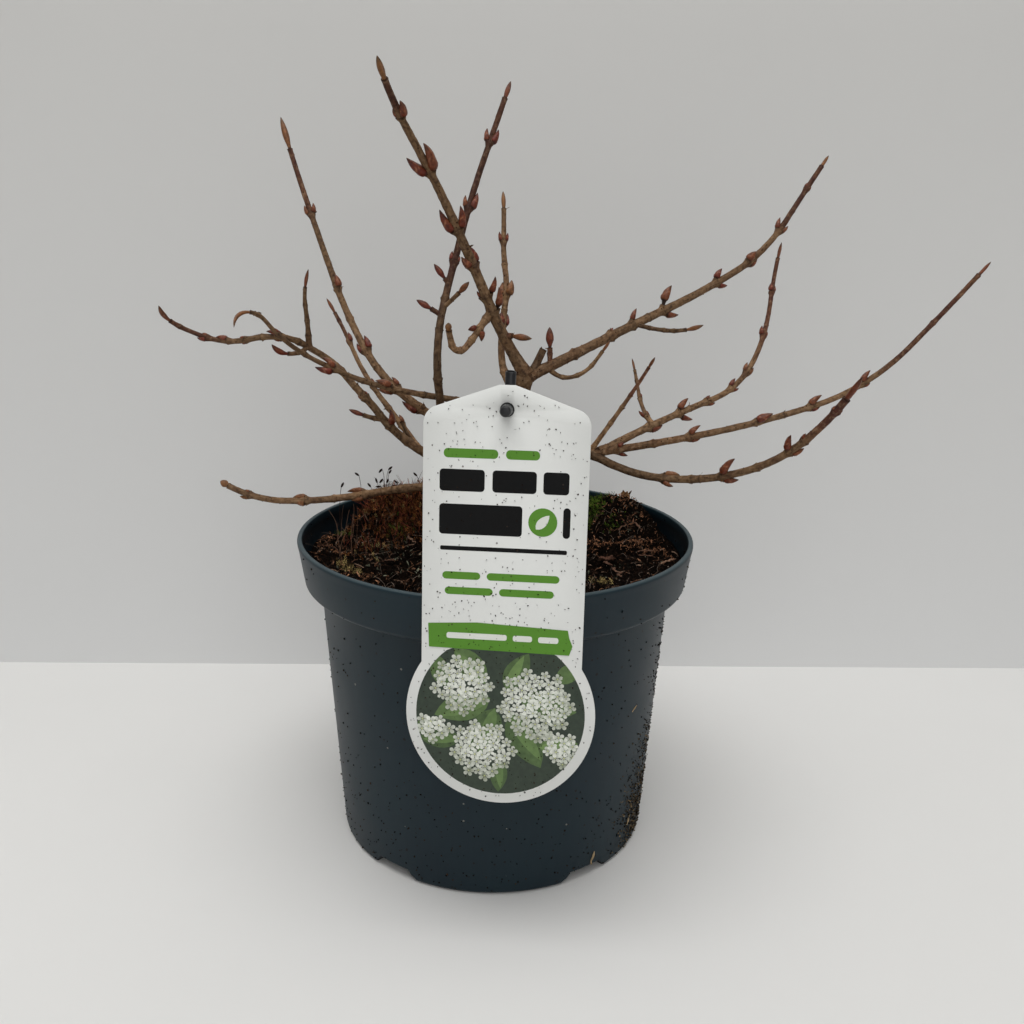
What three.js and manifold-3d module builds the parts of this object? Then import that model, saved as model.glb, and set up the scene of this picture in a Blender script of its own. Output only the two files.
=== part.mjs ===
// Snowball viburnum (Viburnum plicatum), a young leafless shrub in its nursery pot.
// Millimetres, +Z up, +Y away from the label. The origin is the centre of the pot's underside.

import * as THREE from 'three';
import { mergeVertices } from 'three/addons/utils/BufferGeometryUtils.js';
import Module from 'manifold-3d';

const wasm = await Module();
wasm.setup();

// ---------------------------------------------------------------- driving dimensions

const GAP = 0.3; // running clearance between neighbouring solids
const DEGREE = Math.PI / 180;

// A three litre nursery pot: 19 cm across the rim and 15 cm tall.
const POT = {
  height: 150,
  rimRadius: 95,
  lipHeight: 3,
  collarTopRadius: 93.9,
  collarFootRadius: 91.5,
  collarHeight: 22,
  bodyTopRadius: 84,
  baseRadius: 76,
  footBevel: 1.5,
  wall: 1.5,
  footDepth: 6, // how far the ring channel under the pot is raised
  footWidth: 5,
  padRadius: 42, // flat pad in the middle of the underside
  facets: 36,
};
const NOTCH = { count: 5, width: 19, height: 5.5, firstAngle: 36 * DEGREE };

const GROUND = 137; // compost level at the stem
const COMPOST = {
  collar: 16, // radius of the level patch that the stem stands on
  level: 138.5,
  edgeDrop: 4,
  edgeWidth: 12,
  rings: [88.5, 81, 68, 54, 40, 26, 16],
};
const MOUNDS = [
  { x: -48, y: 50, height: 14, width: 24 }, // cushion of moss at the back left
  { x: 60, y: 46, height: 8, width: 24 },
  { x: 40, y: -30, height: 2.5, width: 22 },
];

// The hang label: a flat plate with a pitched top and a round foot.
const LABEL = {
  thickness: 0.8,
  halfWidth: 32,
  apexHeight: 84.8, // heights are from the point where the label crosses the rim
  apexHalfWidth: 3,
  pitch: 19.5 * DEGREE,
  shoulderRadius: 7,
  footCentre: -46.8,
  footRadius: 38.1,
  holeHeight: 75.5,
  holeRadius: 2.75,
  turn: 5 * DEGREE, // the right side comes forward
  lean: 5 * DEGREE, // the top leans back
  sideways: 13,
  standOff: 95.3, // back face, clear of the rim's lip
};
const STAKE = {
  radius: 2.1,
  top: 239,
  bottom: 96,
  foot: { x: 3, y: -73 },
  head: { x: 6.3, y: -83.5 },
  pegRadius: 2.4,
  pegEndRadius: 2.1,
  pegReach: 8, // how far the peg stands out of the label
  shoulderRadius: 3.6,
};

// ---------------------------------------------------------------- the limbs
// Each limb grows from a place on another limb, `at` millimetres along it. Its heading
// (degrees from +X towards +Y) and its rise (degrees above level) change evenly from key
// to key, `thick` is its diameter at the foot and at the tip, and `buds` are the places of
// its pairs of buds, `budSize` times the full size. The first `bough` millimetres are old
// wood; the rest is its twigs. A limb that is `cut` ends flat, any other in a terminal bud.

const TRUNK = {
  foot: [4, 0, GROUND],
  length: 92,
  heading: [146, 4, -31],
  rise: [85, 87, 69],
  thick: [12.6, 8.6],
  flare: 0.45, // how much wider the stem is where it meets the compost
};

const LIMBS = {
  left_tall: {
    on: 'trunk', at: 90, length: 158, thick: [6.9, 3.0], bough: 64,
    heading: [-176, -156, -138, -119, -98], rise: [57, 66, 59, 43, 38],
    buds: [33, 41, 56, 73, 101, 129], budSize: 1,
  },
  right_high: {
    on: 'trunk', at: 88, length: 205, thick: [6.4, 1.7], bough: 72,
    heading: [19, 30, 22, 22, 33, 32], rise: [22, 21, 22, 28, 51, 50],
    buds: [50, 81, 113, 133, 157, 184], budSize: 0.9,
  },
  middle: {
    on: 'trunk', at: 80, length: 99, thick: [3.9, 2.3], bough: 42,
    heading: [180, 107, 57, 109, 89, 102], rise: [41, 75, 76, 64, 72, 67],
    buds: [35, 49, 75], budSize: 0.75,
  },
  left_hooked: {
    on: 'trunk', at: 73, length: 145, thick: [3.6, 1.3], bough: 80,
    heading: [-155, -177, -165, -159, -166, -132, -174, -85], rise: [9, 8, 11, 15, 25, 31, 53, -63],
    buds: [29, 60, 87, 102, 118], budSize: 0.6,
  },
  right_low: {
    on: 'trunk', at: 56, length: 41, thick: [6.0, 5.4], bough: 41, cut: true,
    heading: [-22, -4, -8], rise: [6, 4, -32],
    buds: [], budSize: 1,
  },
  left_high: {
    on: 'trunk', at: 50, length: 221, thick: [5.6, 2.4], bough: 82,
    heading: [121, 199, 134, 139, 134, 135], rise: [4, 35, 43, 62, 60, 66],
    buds: [53, 68, 93, 129, 169], budSize: 0.65,
  },
  left_rim: {
    on: 'trunk', at: 33, length: 152, thick: [4.8, 2.2], bough: 64,
    heading: [156, 168, 171, 175, 161], rise: [3, -9, -13, -2, 26],
    buds: [74, 105, 135], budSize: 0.7,
  },
  left_front: {
    on: 'trunk', at: 25, length: 199, thick: [6.0, 2.0], bough: 92,
    heading: [183, 184, 184, 214, 150, 239, 164, 169, 278], rise: [25, 39, 34, 53, 43, 27, -15, 18, 49],
    buds: [68, 86, 102, 136, 152, 171], budSize: 0.6,
  },
  upright: {
    on: 'trunk', at: 12, length: 239, thick: [5.4, 2.3], bough: 110,
    heading: [-160, -152, -283, -281, -298, -305, -308], rise: [49, 53, 115, 48, 63, 60, 62],
    buds: [146, 173, 207], budSize: 0.85,
  },
  right_front: {
    on: 'right_low', at: 41, length: 148, thick: [4.7, 2.2], bough: 54,
    heading: [-15, -25, -35, -49, -75], rise: [-29, 2, 23, 46, 52],
    buds: [37, 65, 99, 108, 128], budSize: 0.8,
  },
  right_far: {
    on: 'right_low', at: 41, length: 214, thick: [4.4, 1.8], bough: 92,
    heading: [1, 2, 6, 12, 19], rise: [9, 12, 18, 46, 45],
    buds: [26, 47, 79, 105, 132, 175], budSize: 0.75,
  },
  right_back: {
    on: 'right_far', at: 4, length: 162, thick: [4.1, 1.3], bough: 52,
    heading: [15, 29, 20, 46, 71, 59], rise: [27, 17, 18, 51, 64, 59],
    buds: [28, 46, 62, 77, 89, 111, 135], budSize: 0.75,
  },
  right_small: {
    on: 'right_low', at: 40, length: 61, thick: [2.5, 1.3], bough: 0,
    heading: [-30, -65], rise: [56, 49],
    buds: [19, 37], budSize: 0.7,
  },
  right_thin: {
    on: 'right_back', at: 30, length: 37, thick: [2.3, 1.2], bough: 0,
    heading: [138, 104, 106], rise: [39, 58, 51],
    buds: [6, 16], budSize: 0.7,
  },
  left_back: {
    on: 'left_front', at: 50, length: 86, thick: [3.6, 1.7], bough: 40,
    heading: [129, 171, 136, 156], rise: [39, 52, 55, 55],
    buds: [15, 25, 62], budSize: 0.6,
  },
  curled: {
    on: 'left_tall', at: 33, length: 41, thick: [3.3, 2.3], bough: 0,
    heading: [-164, -132, -153, -132, -84], rise: [-52, -46, -48, 75, 56],
    buds: [11], budSize: 0.8,
  },
  hanging: {
    on: 'right_high', at: 13, length: 38, thick: [2.2, 1.4], bough: 0,
    heading: [-13, -1, -6, -7], rise: [-56, 13, 55, 57],
    buds: [], budSize: 1,
  },
  shelf: {
    on: 'right_high', at: 64, length: 34, thick: [2.2, 1.5], bough: 0,
    heading: [-31, -19, -26], rise: [-14, -1, 25],
    buds: [], budSize: 1,
  },
};

// Short shoots that are one piece with the wood that carries them.
const SPURS = [
  { on: 'right_high', at: 4, length: 13, thick: [2.9, 2.8], heading: [30], rise: [62], cut: true },
  { on: 'right_high', at: 14, length: 18, thick: [1.8, 2.6], heading: [100], rise: [80] },
  { on: 'left_tall', at: 21, length: 14, thick: [2.2, 2.4], heading: [-20], rise: [-4] },
  { on: 'upright', at: 117, length: 13, thick: [1.9, 2.4], heading: [176], rise: [30] },
  { on: 'upright', at: 121, length: 17, thick: [1.6, 2.4], heading: [-10, -20], rise: [40, 48] },
  { on: 'upright', at: 134, length: 11, thick: [1.8, 2.4], heading: [172], rise: [52] },
  { on: 'left_front', at: 71, length: 17, thick: [1.8, 2.4], heading: [190], rise: [10, 26] },
  { on: 'left_front', at: 52, length: 13, thick: [2.0, 1.4], heading: [170], rise: [62], cut: true },
  { on: 'left_front', at: 120, length: 36, thick: [2.7, 1.4], heading: [-76, -102, -6], rise: [75, 76, 74] },
  { on: 'left_front', at: 121, length: 22, thick: [1.8, 2], heading: [254, 215, 244], rise: [-28, 3, 51] },
];

const BUD = { length: 10, width: 3.8, splay: 15, sink: 2.2, terminal: 11 };
const SHOOT = {
  seed: 1907,
  twist: 60 * DEGREE, // how far a pair of buds may be turned about its shoot
  sizeSpread: 0.2,
  stalkChance: 0.15, // some buds stand on a stalk
  stalkLength: 4,
  lost: 0.08, // and some are rubbed off
  tipRoom: 6,
};
const WOOD = {
  taper: 0.8, // under 1, a limb thins fastest near its foot
  collar: 0.22, // swelling where a limb joins its parent
  flareReach: 6,
  nodeSwell: 0.16, // the ring under each pair of buds
  nodeWidth: 1.8,
};
const PATH_STEPS = 48;
const RING_SPACING = 12;
const RING_LEAST = 3; // rings closer together than this are thinned out
const FOOT_REACH = 8; // limbs this near a limb's foot are kept clear of it
const SIDES = { trunk: 12, bough: 8, twig: 6, bud: 4 };

// ---------------------------------------------------------------- finishes

const finish = (color, roughness) => new THREE.MeshStandardMaterial({ color, roughness, metalness: 0 });
const PLASTIC = finish(0x333c44, 0.55);
const STAKE_PLASTIC = finish(0x20242a, 0.5);
const CARD = finish(0xd9dad5, 0.6);
const EARTH = finish(0x2b1f18, 1);
const OLD_BARK = finish(0x6b5138, 0.85);
const YOUNG_BARK = finish(0x5c3a28, 0.8);

// ---------------------------------------------------------------- solids

/** Turns a closed geometry into a solid, with its faces pointing out. */
function toSolid(geometry) {
  const bare = geometry.clone();
  bare.deleteAttribute('normal');
  bare.deleteAttribute('uv');
  const merged = mergeVertices(bare, 1e-4);
  const places = merged.attributes.position.array;
  const index = merged.index.array;
  const triangles = [];
  for (let i = 0; i < index.length; i += 3) {
    const [a, b, c] = [index[i], index[i + 1], index[i + 2]];
    if (a !== b && b !== c && c !== a) triangles.push(a, b, c);
  }
  if (signedVolume(places, triangles) < 0) triangles.reverse();
  const mesh = new wasm.Mesh({
    numProp: 3,
    vertProperties: Float32Array.from(places),
    triVerts: Uint32Array.from(triangles),
  });
  return new wasm.Manifold(mesh);
}

/** Six times the volume that the triangles enclose. */
function signedVolume(places, triangles) {
  const corner = (n) => new THREE.Vector3().fromArray(places, 3 * n);
  let sum = 0;
  for (let i = 0; i < triangles.length; i += 3) {
    const [a, b, c] = [corner(triangles[i]), corner(triangles[i + 1]), corner(triangles[i + 2])];
    sum += a.dot(b.cross(c));
  }
  return sum;
}

/** Turns a solid back into a named mesh. */
function toMesh(name, solid, material) {
  const { vertProperties, triVerts } = solid.getMesh();
  const geometry = new THREE.BufferGeometry();
  geometry.setAttribute('position', new THREE.BufferAttribute(vertProperties, 3));
  geometry.setIndex(new THREE.BufferAttribute(triVerts, 1));
  geometry.computeVertexNormals();
  const mesh = new THREE.Mesh(geometry, material);
  mesh.name = name;
  return mesh;
}

/** The largest of a solid's separate bodies; a cut can leave loose scraps. */
function largestBody(solid) {
  const bodies = solid.decompose();
  return bodies.reduce((best, body) => (body.volume() > best.volume() ? body : best));
}

/** A solid turned about the Z axis from [radius, height] pairs. */
function turned(profile, facets) {
  const points = profile.map(([radius, height]) => new THREE.Vector2(radius, height));
  return new THREE.LatheGeometry(points, facets).rotateX(Math.PI / 2);
}

// ---------------------------------------------------------------- pot and compost

/** Inner radius of the pot's wall at a height. */
function innerRadius(height) {
  const shoulder = POT.height - POT.collarHeight;
  const foot = POT.baseRadius - POT.wall;
  const top = POT.bodyTopRadius - POT.wall;
  return foot + (top - foot) * Math.min(height / shoulder, 1);
}

function makePot() {
  const shoulder = POT.height - POT.collarHeight;
  const lip = POT.height - POT.lipHeight;
  const channel = POT.footDepth;
  const floor = channel + POT.wall;
  const footInner = POT.baseRadius - POT.footWidth;
  const outside = [
    [0, 0],
    [POT.padRadius, 0],
    [POT.padRadius + 1.5, channel],
    [footInner - 0.5, channel],
    [footInner, 0],
    [POT.baseRadius - POT.footBevel, 0],
    [POT.baseRadius, POT.footBevel],
    [POT.bodyTopRadius, shoulder - 2],
    [POT.collarFootRadius - 1.5, shoulder],
    [POT.collarFootRadius, shoulder + 1.5],
    [POT.collarTopRadius, lip - 0.6],
    [POT.rimRadius, lip],
    [POT.rimRadius, POT.height],
  ];
  const inside = [
    [POT.collarTopRadius - POT.wall, POT.height],
    [POT.collarTopRadius - POT.wall, lip],
    [POT.collarFootRadius - POT.wall, shoulder + 2.5],
    [innerRadius(shoulder), shoulder + POT.wall],
    [innerRadius(floor), floor],
    [POT.padRadius, floor],
    [POT.padRadius - 1.5, POT.wall],
    [0, POT.wall],
  ];
  let pot = toSolid(turned([...outside, ...inside], POT.facets));
  for (let i = 0; i < NOTCH.count; i++) {
    const reach = 2 * POT.footWidth;
    const cutter = new THREE.BoxGeometry(NOTCH.width, reach + 4, 2 * NOTCH.height);
    cutter.translate(0, -(POT.baseRadius - reach / 2 + 2), 0);
    cutter.rotateZ(NOTCH.firstAngle + (i * 2 * Math.PI) / NOTCH.count);
    pot = pot.subtract(toSolid(cutter));
  }
  return pot;
}

/** Height of the compost at a place: level at the stem, mounded with moss towards the back. */
function compostHeight(x, y) {
  const radius = Math.hypot(x, y);
  const ripple = 0.8 * Math.sin(x / 9 + 1) * Math.cos(y / 7) + 0.6 * Math.sin((x + 2 * y) / 11);
  let height = COMPOST.level + ripple;
  for (const mound of MOUNDS) {
    const distance = Math.hypot(x - mound.x, y - mound.y) / mound.width;
    height += mound.height * Math.exp(-distance * distance);
  }
  const edge = Math.max(0, radius - COMPOST.rings[0] + COMPOST.edgeWidth) / COMPOST.edgeWidth;
  height -= COMPOST.edgeDrop * edge * edge;
  const level = THREE.MathUtils.smoothstep(radius, COMPOST.collar, COMPOST.collar + 14);
  return THREE.MathUtils.lerp(GROUND - GAP, height, level);
}

function makeCompost() {
  const floor = POT.footDepth + POT.wall + GAP;
  const shoulder = POT.height - POT.collarHeight;
  const topMark = POT.height; // vertices at this height are dropped onto the surface
  const profile = [
    [0, POT.wall + GAP],
    [POT.padRadius - 2, POT.wall + GAP],
    [POT.padRadius - 0.5, floor],
    [innerRadius(floor) - GAP, floor],
    [innerRadius(shoulder) - GAP, shoulder + POT.wall + GAP],
    [COMPOST.rings[0], shoulder + POT.wall + 1],
    ...COMPOST.rings.map((radius) => [radius, topMark]),
    [0, topMark],
  ];
  const geometry = turned(profile, POT.facets);
  const places = geometry.attributes.position;
  for (let i = 0; i < places.count; i++) {
    if (places.getZ(i) > topMark - 0.01) {
      places.setZ(i, compostHeight(places.getX(i), places.getY(i)));
    }
  }
  return toSolid(geometry);
}

// ---------------------------------------------------------------- label and stake

/** The label's own frame: +X across it, +Y up it, +Z out of its face; z = 0 is its back. */
function labelFrame() {
  const outward = new THREE.Vector3(-Math.sin(LABEL.turn), -Math.cos(LABEL.turn), 0);
  const across = new THREE.Vector3(Math.cos(LABEL.turn), -Math.sin(LABEL.turn), 0);
  const origin = across.clone().multiplyScalar(LABEL.sideways);
  origin.addScaledVector(outward, LABEL.standOff).setZ(POT.height);
  const up = new THREE.Vector3(0, 0, Math.cos(LABEL.lean));
  up.addScaledVector(outward, -Math.sin(LABEL.lean));
  const face = across.clone().cross(up);
  return new THREE.Matrix4().makeBasis(across, up, face).setPosition(origin);
}

function labelOutline() {
  const half = LABEL.halfWidth;
  const r = LABEL.shoulderRadius;
  const neck = LABEL.footCentre + Math.sqrt(LABEL.footRadius ** 2 - half ** 2);
  const start = Math.asin((neck - LABEL.footCentre) / LABEL.footRadius);
  const run = half - r + r * Math.sin(LABEL.pitch) - LABEL.apexHalfWidth;
  const shoulder = LABEL.apexHeight - run * Math.tan(LABEL.pitch) - r * Math.cos(LABEL.pitch);
  const outline = new THREE.Shape();
  outline.absarc(0, LABEL.footCentre, LABEL.footRadius, Math.PI - start, start, false);
  outline.absarc(half - r, shoulder, r, 0, Math.PI / 2 - LABEL.pitch, false);
  outline.lineTo(LABEL.apexHalfWidth, LABEL.apexHeight);
  outline.lineTo(-LABEL.apexHalfWidth, LABEL.apexHeight);
  outline.absarc(r - half, shoulder, r, Math.PI / 2 + LABEL.pitch, Math.PI, false);
  outline.closePath();
  const hole = new THREE.Path().absarc(0, LABEL.holeHeight, LABEL.holeRadius, 0, 2 * Math.PI);
  outline.holes.push(hole);
  return outline;
}

function makeLabel() {
  const settings = { depth: LABEL.thickness, bevelEnabled: false, curveSegments: 9 };
  const plate = new THREE.ExtrudeGeometry(labelOutline(), settings);
  return toSolid(plate.applyMatrix4(labelFrame()));
}

/** A straight round bar between two points. */
function bar(from, to, fromRadius, toRadius, sides) {
  const length = from.distanceTo(to);
  const geometry = new THREE.CylinderGeometry(toRadius, fromRadius, length, sides);
  const turn = new THREE.Quaternion().setFromUnitVectors(
    new THREE.Vector3(0, 1, 0),
    to.clone().sub(from).normalize(),
  );
  geometry.translate(0, length / 2, 0);
  geometry.applyQuaternion(turn);
  return toSolid(geometry.translate(from.x, from.y, from.z));
}

/** The stake's upright; `grow` widens it for a clearance cut. */
function stakeShaft(grow) {
  const foot = new THREE.Vector3(STAKE.foot.x, STAKE.foot.y, STAKE.bottom - grow);
  const head = new THREE.Vector3(STAKE.head.x, STAKE.head.y, STAKE.top);
  return bar(foot, head, STAKE.radius + grow, STAKE.radius + grow, 10);
}

function makeStake() {
  const frame = labelFrame();
  const spot = (depth) => new THREE.Vector3(0, LABEL.holeHeight, depth).applyMatrix4(frame);
  const back = spot(-GAP);
  const base = spot(-6);
  const end = spot(LABEL.thickness + STAKE.pegReach);
  return stakeShaft(0)
    .add(bar(base, back, STAKE.radius, STAKE.shoulderRadius, 10))
    .add(bar(base, end, STAKE.pegRadius, STAKE.pegEndRadius, 10));
}

// ---------------------------------------------------------------- growth

/** A small seeded random source, even from 0 to 1. */
function seeded(seed) {
  let state = seed;
  return () => {
    state = (state * 16807) % 2147483647;
    return state / 2147483647;
  };
}

/** The value a share of the way through a list of evenly spaced keys. */
function keyed(keys, share) {
  const place = share * (keys.length - 1);
  const low = Math.min(Math.floor(place), keys.length - 1);
  const high = Math.min(low + 1, keys.length - 1);
  return THREE.MathUtils.lerp(keys[low], keys[high], place - low);
}

/** The centre line of a limb: its points, a step apart. */
function growPath(limb, foot) {
  const step = limb.length / PATH_STEPS;
  const points = [foot.clone()];
  for (let i = 0; i < PATH_STEPS; i++) {
    const share = (i + 0.5) / PATH_STEPS;
    const heading = keyed(limb.heading, share) * DEGREE;
    const rise = keyed(limb.rise, share) * DEGREE;
    const level = Math.cos(rise);
    const way = new THREE.Vector3(level * Math.cos(heading), level * Math.sin(heading), Math.sin(rise));
    points.push(points[i].clone().addScaledVector(way, step));
  }
  return points;
}

/** Where a limb is, and which way it runs, a distance along it, and straight on past its ends. */
function along(limb, distance) {
  const place = (distance / limb.length) * PATH_STEPS;
  const low = THREE.MathUtils.clamp(Math.floor(place), 0, PATH_STEPS - 1);
  const point = new THREE.Vector3().lerpVectors(limb.path[low], limb.path[low + 1], place - low);
  const before = limb.path[Math.max(low - 1, 0)];
  const after = limb.path[Math.min(low + 2, PATH_STEPS)];
  const way = after.clone().sub(before).normalize();
  const side = way.clone().cross(new THREE.Vector3(0, 1, 0)).normalize();
  return { point, way, side, face: side.clone().cross(way) };
}

/** A limb's radius: its taper, the collar and flare at its foot, a ring at each pair of buds. */
function radiusAt(limb, distance) {
  const share = THREE.MathUtils.clamp(distance / limb.length, 0, 1);
  const taper = THREE.MathUtils.lerp(limb.thick[0], limb.thick[1], share ** WOOD.taper) / 2;
  const beyond = Math.max(distance, 0);
  const collar = WOOD.collar * Math.exp(-beyond / limb.thick[0]);
  const flare = (limb.flare ?? 0) * Math.exp(-beyond / WOOD.flareReach);
  const nodes = (limb.buds ?? []).map((spot) => Math.exp(-(((distance - spot) / WOOD.nodeWidth) ** 2)));
  return taper * (1 + collar + flare + WOOD.nodeSwell * Math.max(0, ...nodes));
}

/** Distances along a limb at which its solid has a ring of corners. */
function ringPlaces(limb, from, to) {
  const kept = [from, to];
  const add = (place) => {
    const clear = kept.every((other) => Math.abs(other - place) >= RING_LEAST - 0.01);
    if (place > from && place < to && clear) kept.push(place);
  };
  for (const spot of limb.buds ?? []) [spot + 1, spot + 1 - RING_LEAST].forEach(add);
  if (limb.flare) [0.5, 1.2, 2, 3].forEach((reach) => add(reach * WOOD.flareReach));
  const count = Math.ceil((to - from) / RING_SPACING);
  for (let i = 1; i < count; i++) {
    const place = THREE.MathUtils.lerp(from, to, i / count);
    if (kept.every((other) => Math.abs(other - place) > RING_SPACING / 2)) add(place);
  }
  return kept.sort((a, b) => a - b);
}

/** Bends a turned profile of [radius, distance] pairs along a limb. */
function bentSolid(limb, profile, sides) {
  const points = profile.map(([radius, distance]) => new THREE.Vector2(radius, distance));
  const geometry = new THREE.LatheGeometry(points, sides);
  const places = geometry.attributes.position;
  for (let i = 0; i < places.count; i++) {
    const { point, side, face } = along(limb, places.getY(i));
    point.addScaledVector(side, places.getX(i)).addScaledVector(face, places.getZ(i));
    places.setXYZ(i, point.x, point.y, point.z);
  }
  return toSolid(geometry);
}

/** One stretch of a limb, ended flat, or by a terminal bud where it reaches the tip. */
function stretch(limb, from, to, sides, grow = 0) {
  const tip = to >= limb.length && !limb.cut;
  const bud = Math.min(BUD.terminal, limb.length * 0.6);
  const end = tip ? limb.length - bud : to;
  const wider = grow > 0 ? 1 / Math.cos(Math.PI / sides) : 1; // so that its flats stand clear too
  const radius = (place) => (radiusAt(limb, place) + grow) * wider;
  const rings = ringPlaces(limb, from, end).map((place) => [radius(place), place]);
  const last = rings.at(-1)[0];
  const terminal = [[last * 0.85, end + 0.8], [last * 1.12, end + bud * 0.3], [last * 0.7, end + bud * 0.72]];
  const close = tip ? terminal : [[last, to + grow]];
  const foot = [[0, from - grow], [rings[0][0], from - grow]];
  return bentSolid(limb, [...foot, ...rings, ...close, [0, to + grow]], sides);
}

/** A whole limb with its short shoots; `grow` is the clearance that it is cut round with. */
function wholeLimb(limb, grow) {
  const sides = limb === trunk ? SIDES.trunk : SIDES.twig;
  const shoots = spurs.filter((spur) => spur.on === limb.name);
  const parts = shoots.map((spur) => stretch(spur, 0, spur.length, SIDES.twig, grow));
  return parts.reduce((sum, part) => sum.add(part), stretch(limb, 0, limb.length, sides, grow));
}

/** A pointed bud: a spindle that stands on the wood and leans along the shoot. */
function budSolid(place, out, length, width, stalk) {
  const { point, way } = place;
  const splay = BUD.splay * DEGREE;
  const aim = way.clone().multiplyScalar(Math.cos(splay)).addScaledVector(out, Math.sin(splay));
  const base = point.clone().addScaledVector(out, place.radius - 0.3 * BUD.sink);
  base.addScaledVector(aim, -BUD.sink);
  const foot = BUD.sink + stalk;
  const profile = [
    [0, 0],
    [width * 0.28, 0],
    [width * 0.5, foot + length * 0.4],
    [0, foot + length],
  ];
  const points = profile.map(([radius, height]) => new THREE.Vector2(radius, height));
  const geometry = new THREE.LatheGeometry(points, SIDES.bud);
  geometry.applyQuaternion(new THREE.Quaternion().setFromUnitVectors(new THREE.Vector3(0, 1, 0), aim));
  const tip = base.clone().addScaledVector(aim, foot + length);
  return { solid: toSolid(geometry.translate(base.x, base.y, base.z)), base, tip, width };
}

/** How close a point comes to a limb's surface. */
function clearanceTo(limb, point) {
  const distances = limb.path.map((place, i) => {
    const radius = radiusAt(limb, (i / PATH_STEPS) * limb.length);
    return place.distanceTo(point) - radius;
  });
  return Math.min(...distances);
}

const trunk = { name: 'trunk', cut: true, ...TRUNK };
trunk.path = growPath(trunk, new THREE.Vector3(...TRUNK.foot));
const grown = { trunk };
for (const [name, limb] of Object.entries(LIMBS)) {
  const foot = along(grown[limb.on], limb.at).point;
  grown[name] = { name, ...limb, path: growPath(limb, foot) };
}
const spurs = SPURS.map((spur) => {
  const foot = along(grown[spur.on], spur.at).point;
  return { ...spur, path: growPath(spur, foot) };
});

const random = seeded(SHOOT.seed);

/** The pairs of buds on one stretch of a limb, skipping any that would touch another limb. */
function budsOn(limb, from, to) {
  const solids = [];
  for (const spot of limb.buds.filter((distance) => distance > from && distance < to)) {
    const place = { ...along(limb, spot), radius: radiusAt(limb, spot) };
    const twist = (random() - 0.5) * SHOOT.twist;
    for (const hand of [1, -1]) {
      const size = 1 + (random() - 0.5) * 2 * SHOOT.sizeSpread;
      const stalk = random() < SHOOT.stalkChance ? SHOOT.stalkLength * (0.5 + random()) : 0;
      const lost = random() < SHOOT.lost;
      const out = place.side.clone().multiplyScalar(hand).applyAxisAngle(place.way, twist);
      const scale = size * limb.budSize;
      const bud = budSolid(place, out, BUD.length * scale, BUD.width * scale, stalk);
      const others = Object.values(grown).filter((other) => other !== limb);
      const room = (point) => others.every((other) => clearanceTo(other, point) > bud.width / 2 + 2 * GAP);
      const middle = bud.base.clone().lerp(bud.tip, 0.5);
      if (!lost && room(bud.tip) && room(middle) && spot + SHOOT.tipRoom < to) solids.push(bud.solid);
    }
  }
  return solids;
}

/** The short shoots that stand on one stretch of a limb. */
function spursOn(limb, from, to) {
  const here = spurs.filter((spur) => spur.on === limb.name && spur.at > from && spur.at <= to);
  return here.map((spur) => stretch(spur, 0, spur.length, SIDES.twig));
}

/** The limbs made before this one that come near its foot. */
function neighboursOf(limb) {
  const made = Object.values(grown);
  const before = made.slice(0, made.indexOf(limb));
  return before.filter((other) => clearanceTo(other, limb.path[0]) < FOOT_REACH);
}

/** Cuts a solid clear of the limbs that grow from the same place. */
function clearOf(solid, neighbours) {
  const cuts = neighbours.map((limb) => wholeLimb(limb, GAP));
  return largestBody(cuts.reduce((rest, cut) => rest.subtract(cut), solid));
}

/** The trunk, cut flat where it meets the compost. */
function makeTrunk() {
  const below = new THREE.BoxGeometry(60, 60, 20).translate(...TRUNK.foot).translate(0, 0, -10);
  const stem = stretch(trunk, 0, trunk.length, SIDES.trunk);
  return stem.subtract(toSolid(below));
}

// ---------------------------------------------------------------- assembly

const shrub = new THREE.Group();
shrub.name = 'snowball_viburnum';
shrub.add(toMesh('pot', makePot(), PLASTIC));
shrub.add(toMesh('compost', makeCompost().subtract(stakeShaft(GAP)), EARTH));
shrub.add(toMesh('label_stake', makeStake(), STAKE_PLASTIC));
shrub.add(toMesh('label', makeLabel(), CARD));
shrub.add(toMesh('trunk', makeTrunk(), OLD_BARK));

for (const limb of Object.values(grown)) {
  if (limb === trunk) continue;
  const neighbours = neighboursOf(limb);
  const pieces = [
    { kind: 'bough', from: 0, to: limb.bough, sides: SIDES.bough, material: OLD_BARK },
    { kind: 'twigs', from: limb.bough, to: limb.length, sides: SIDES.twig, material: YOUNG_BARK },
  ];
  for (const piece of pieces) {
    if (piece.to <= piece.from) continue;
    const start = piece.from > 0 ? piece.from + GAP : 0;
    const stem = stretch(limb, start, piece.to, piece.sides);
    const extras = [...budsOn(limb, start, piece.to), ...spursOn(limb, start, piece.to)];
    const whole = extras.reduce((sum, part) => sum.add(part), stem);
    const seated = start > 0 ? largestBody(whole) : clearOf(whole, neighbours);
    shrub.add(toMesh(`${piece.kind}_${limb.name}`, seated, piece.material));
  }
}

export default shrub;
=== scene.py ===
"""A young snowball viburnum, leafless in winter, in a nursery pot with a hang label.

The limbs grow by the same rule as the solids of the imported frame, with bark, leaf scars and
scaled buds. Sizes are in millimetres in every field and are turned to metres in Shell.build.
"""

import logging
import math
from collections.abc import Callable, Iterable, Sequence
from dataclasses import dataclass, field
from enum import Enum
from itertools import pairwise
from typing import ClassVar

import bmesh
import bpy
import numpy as np
from mathutils import Matrix, Vector, noise


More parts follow.
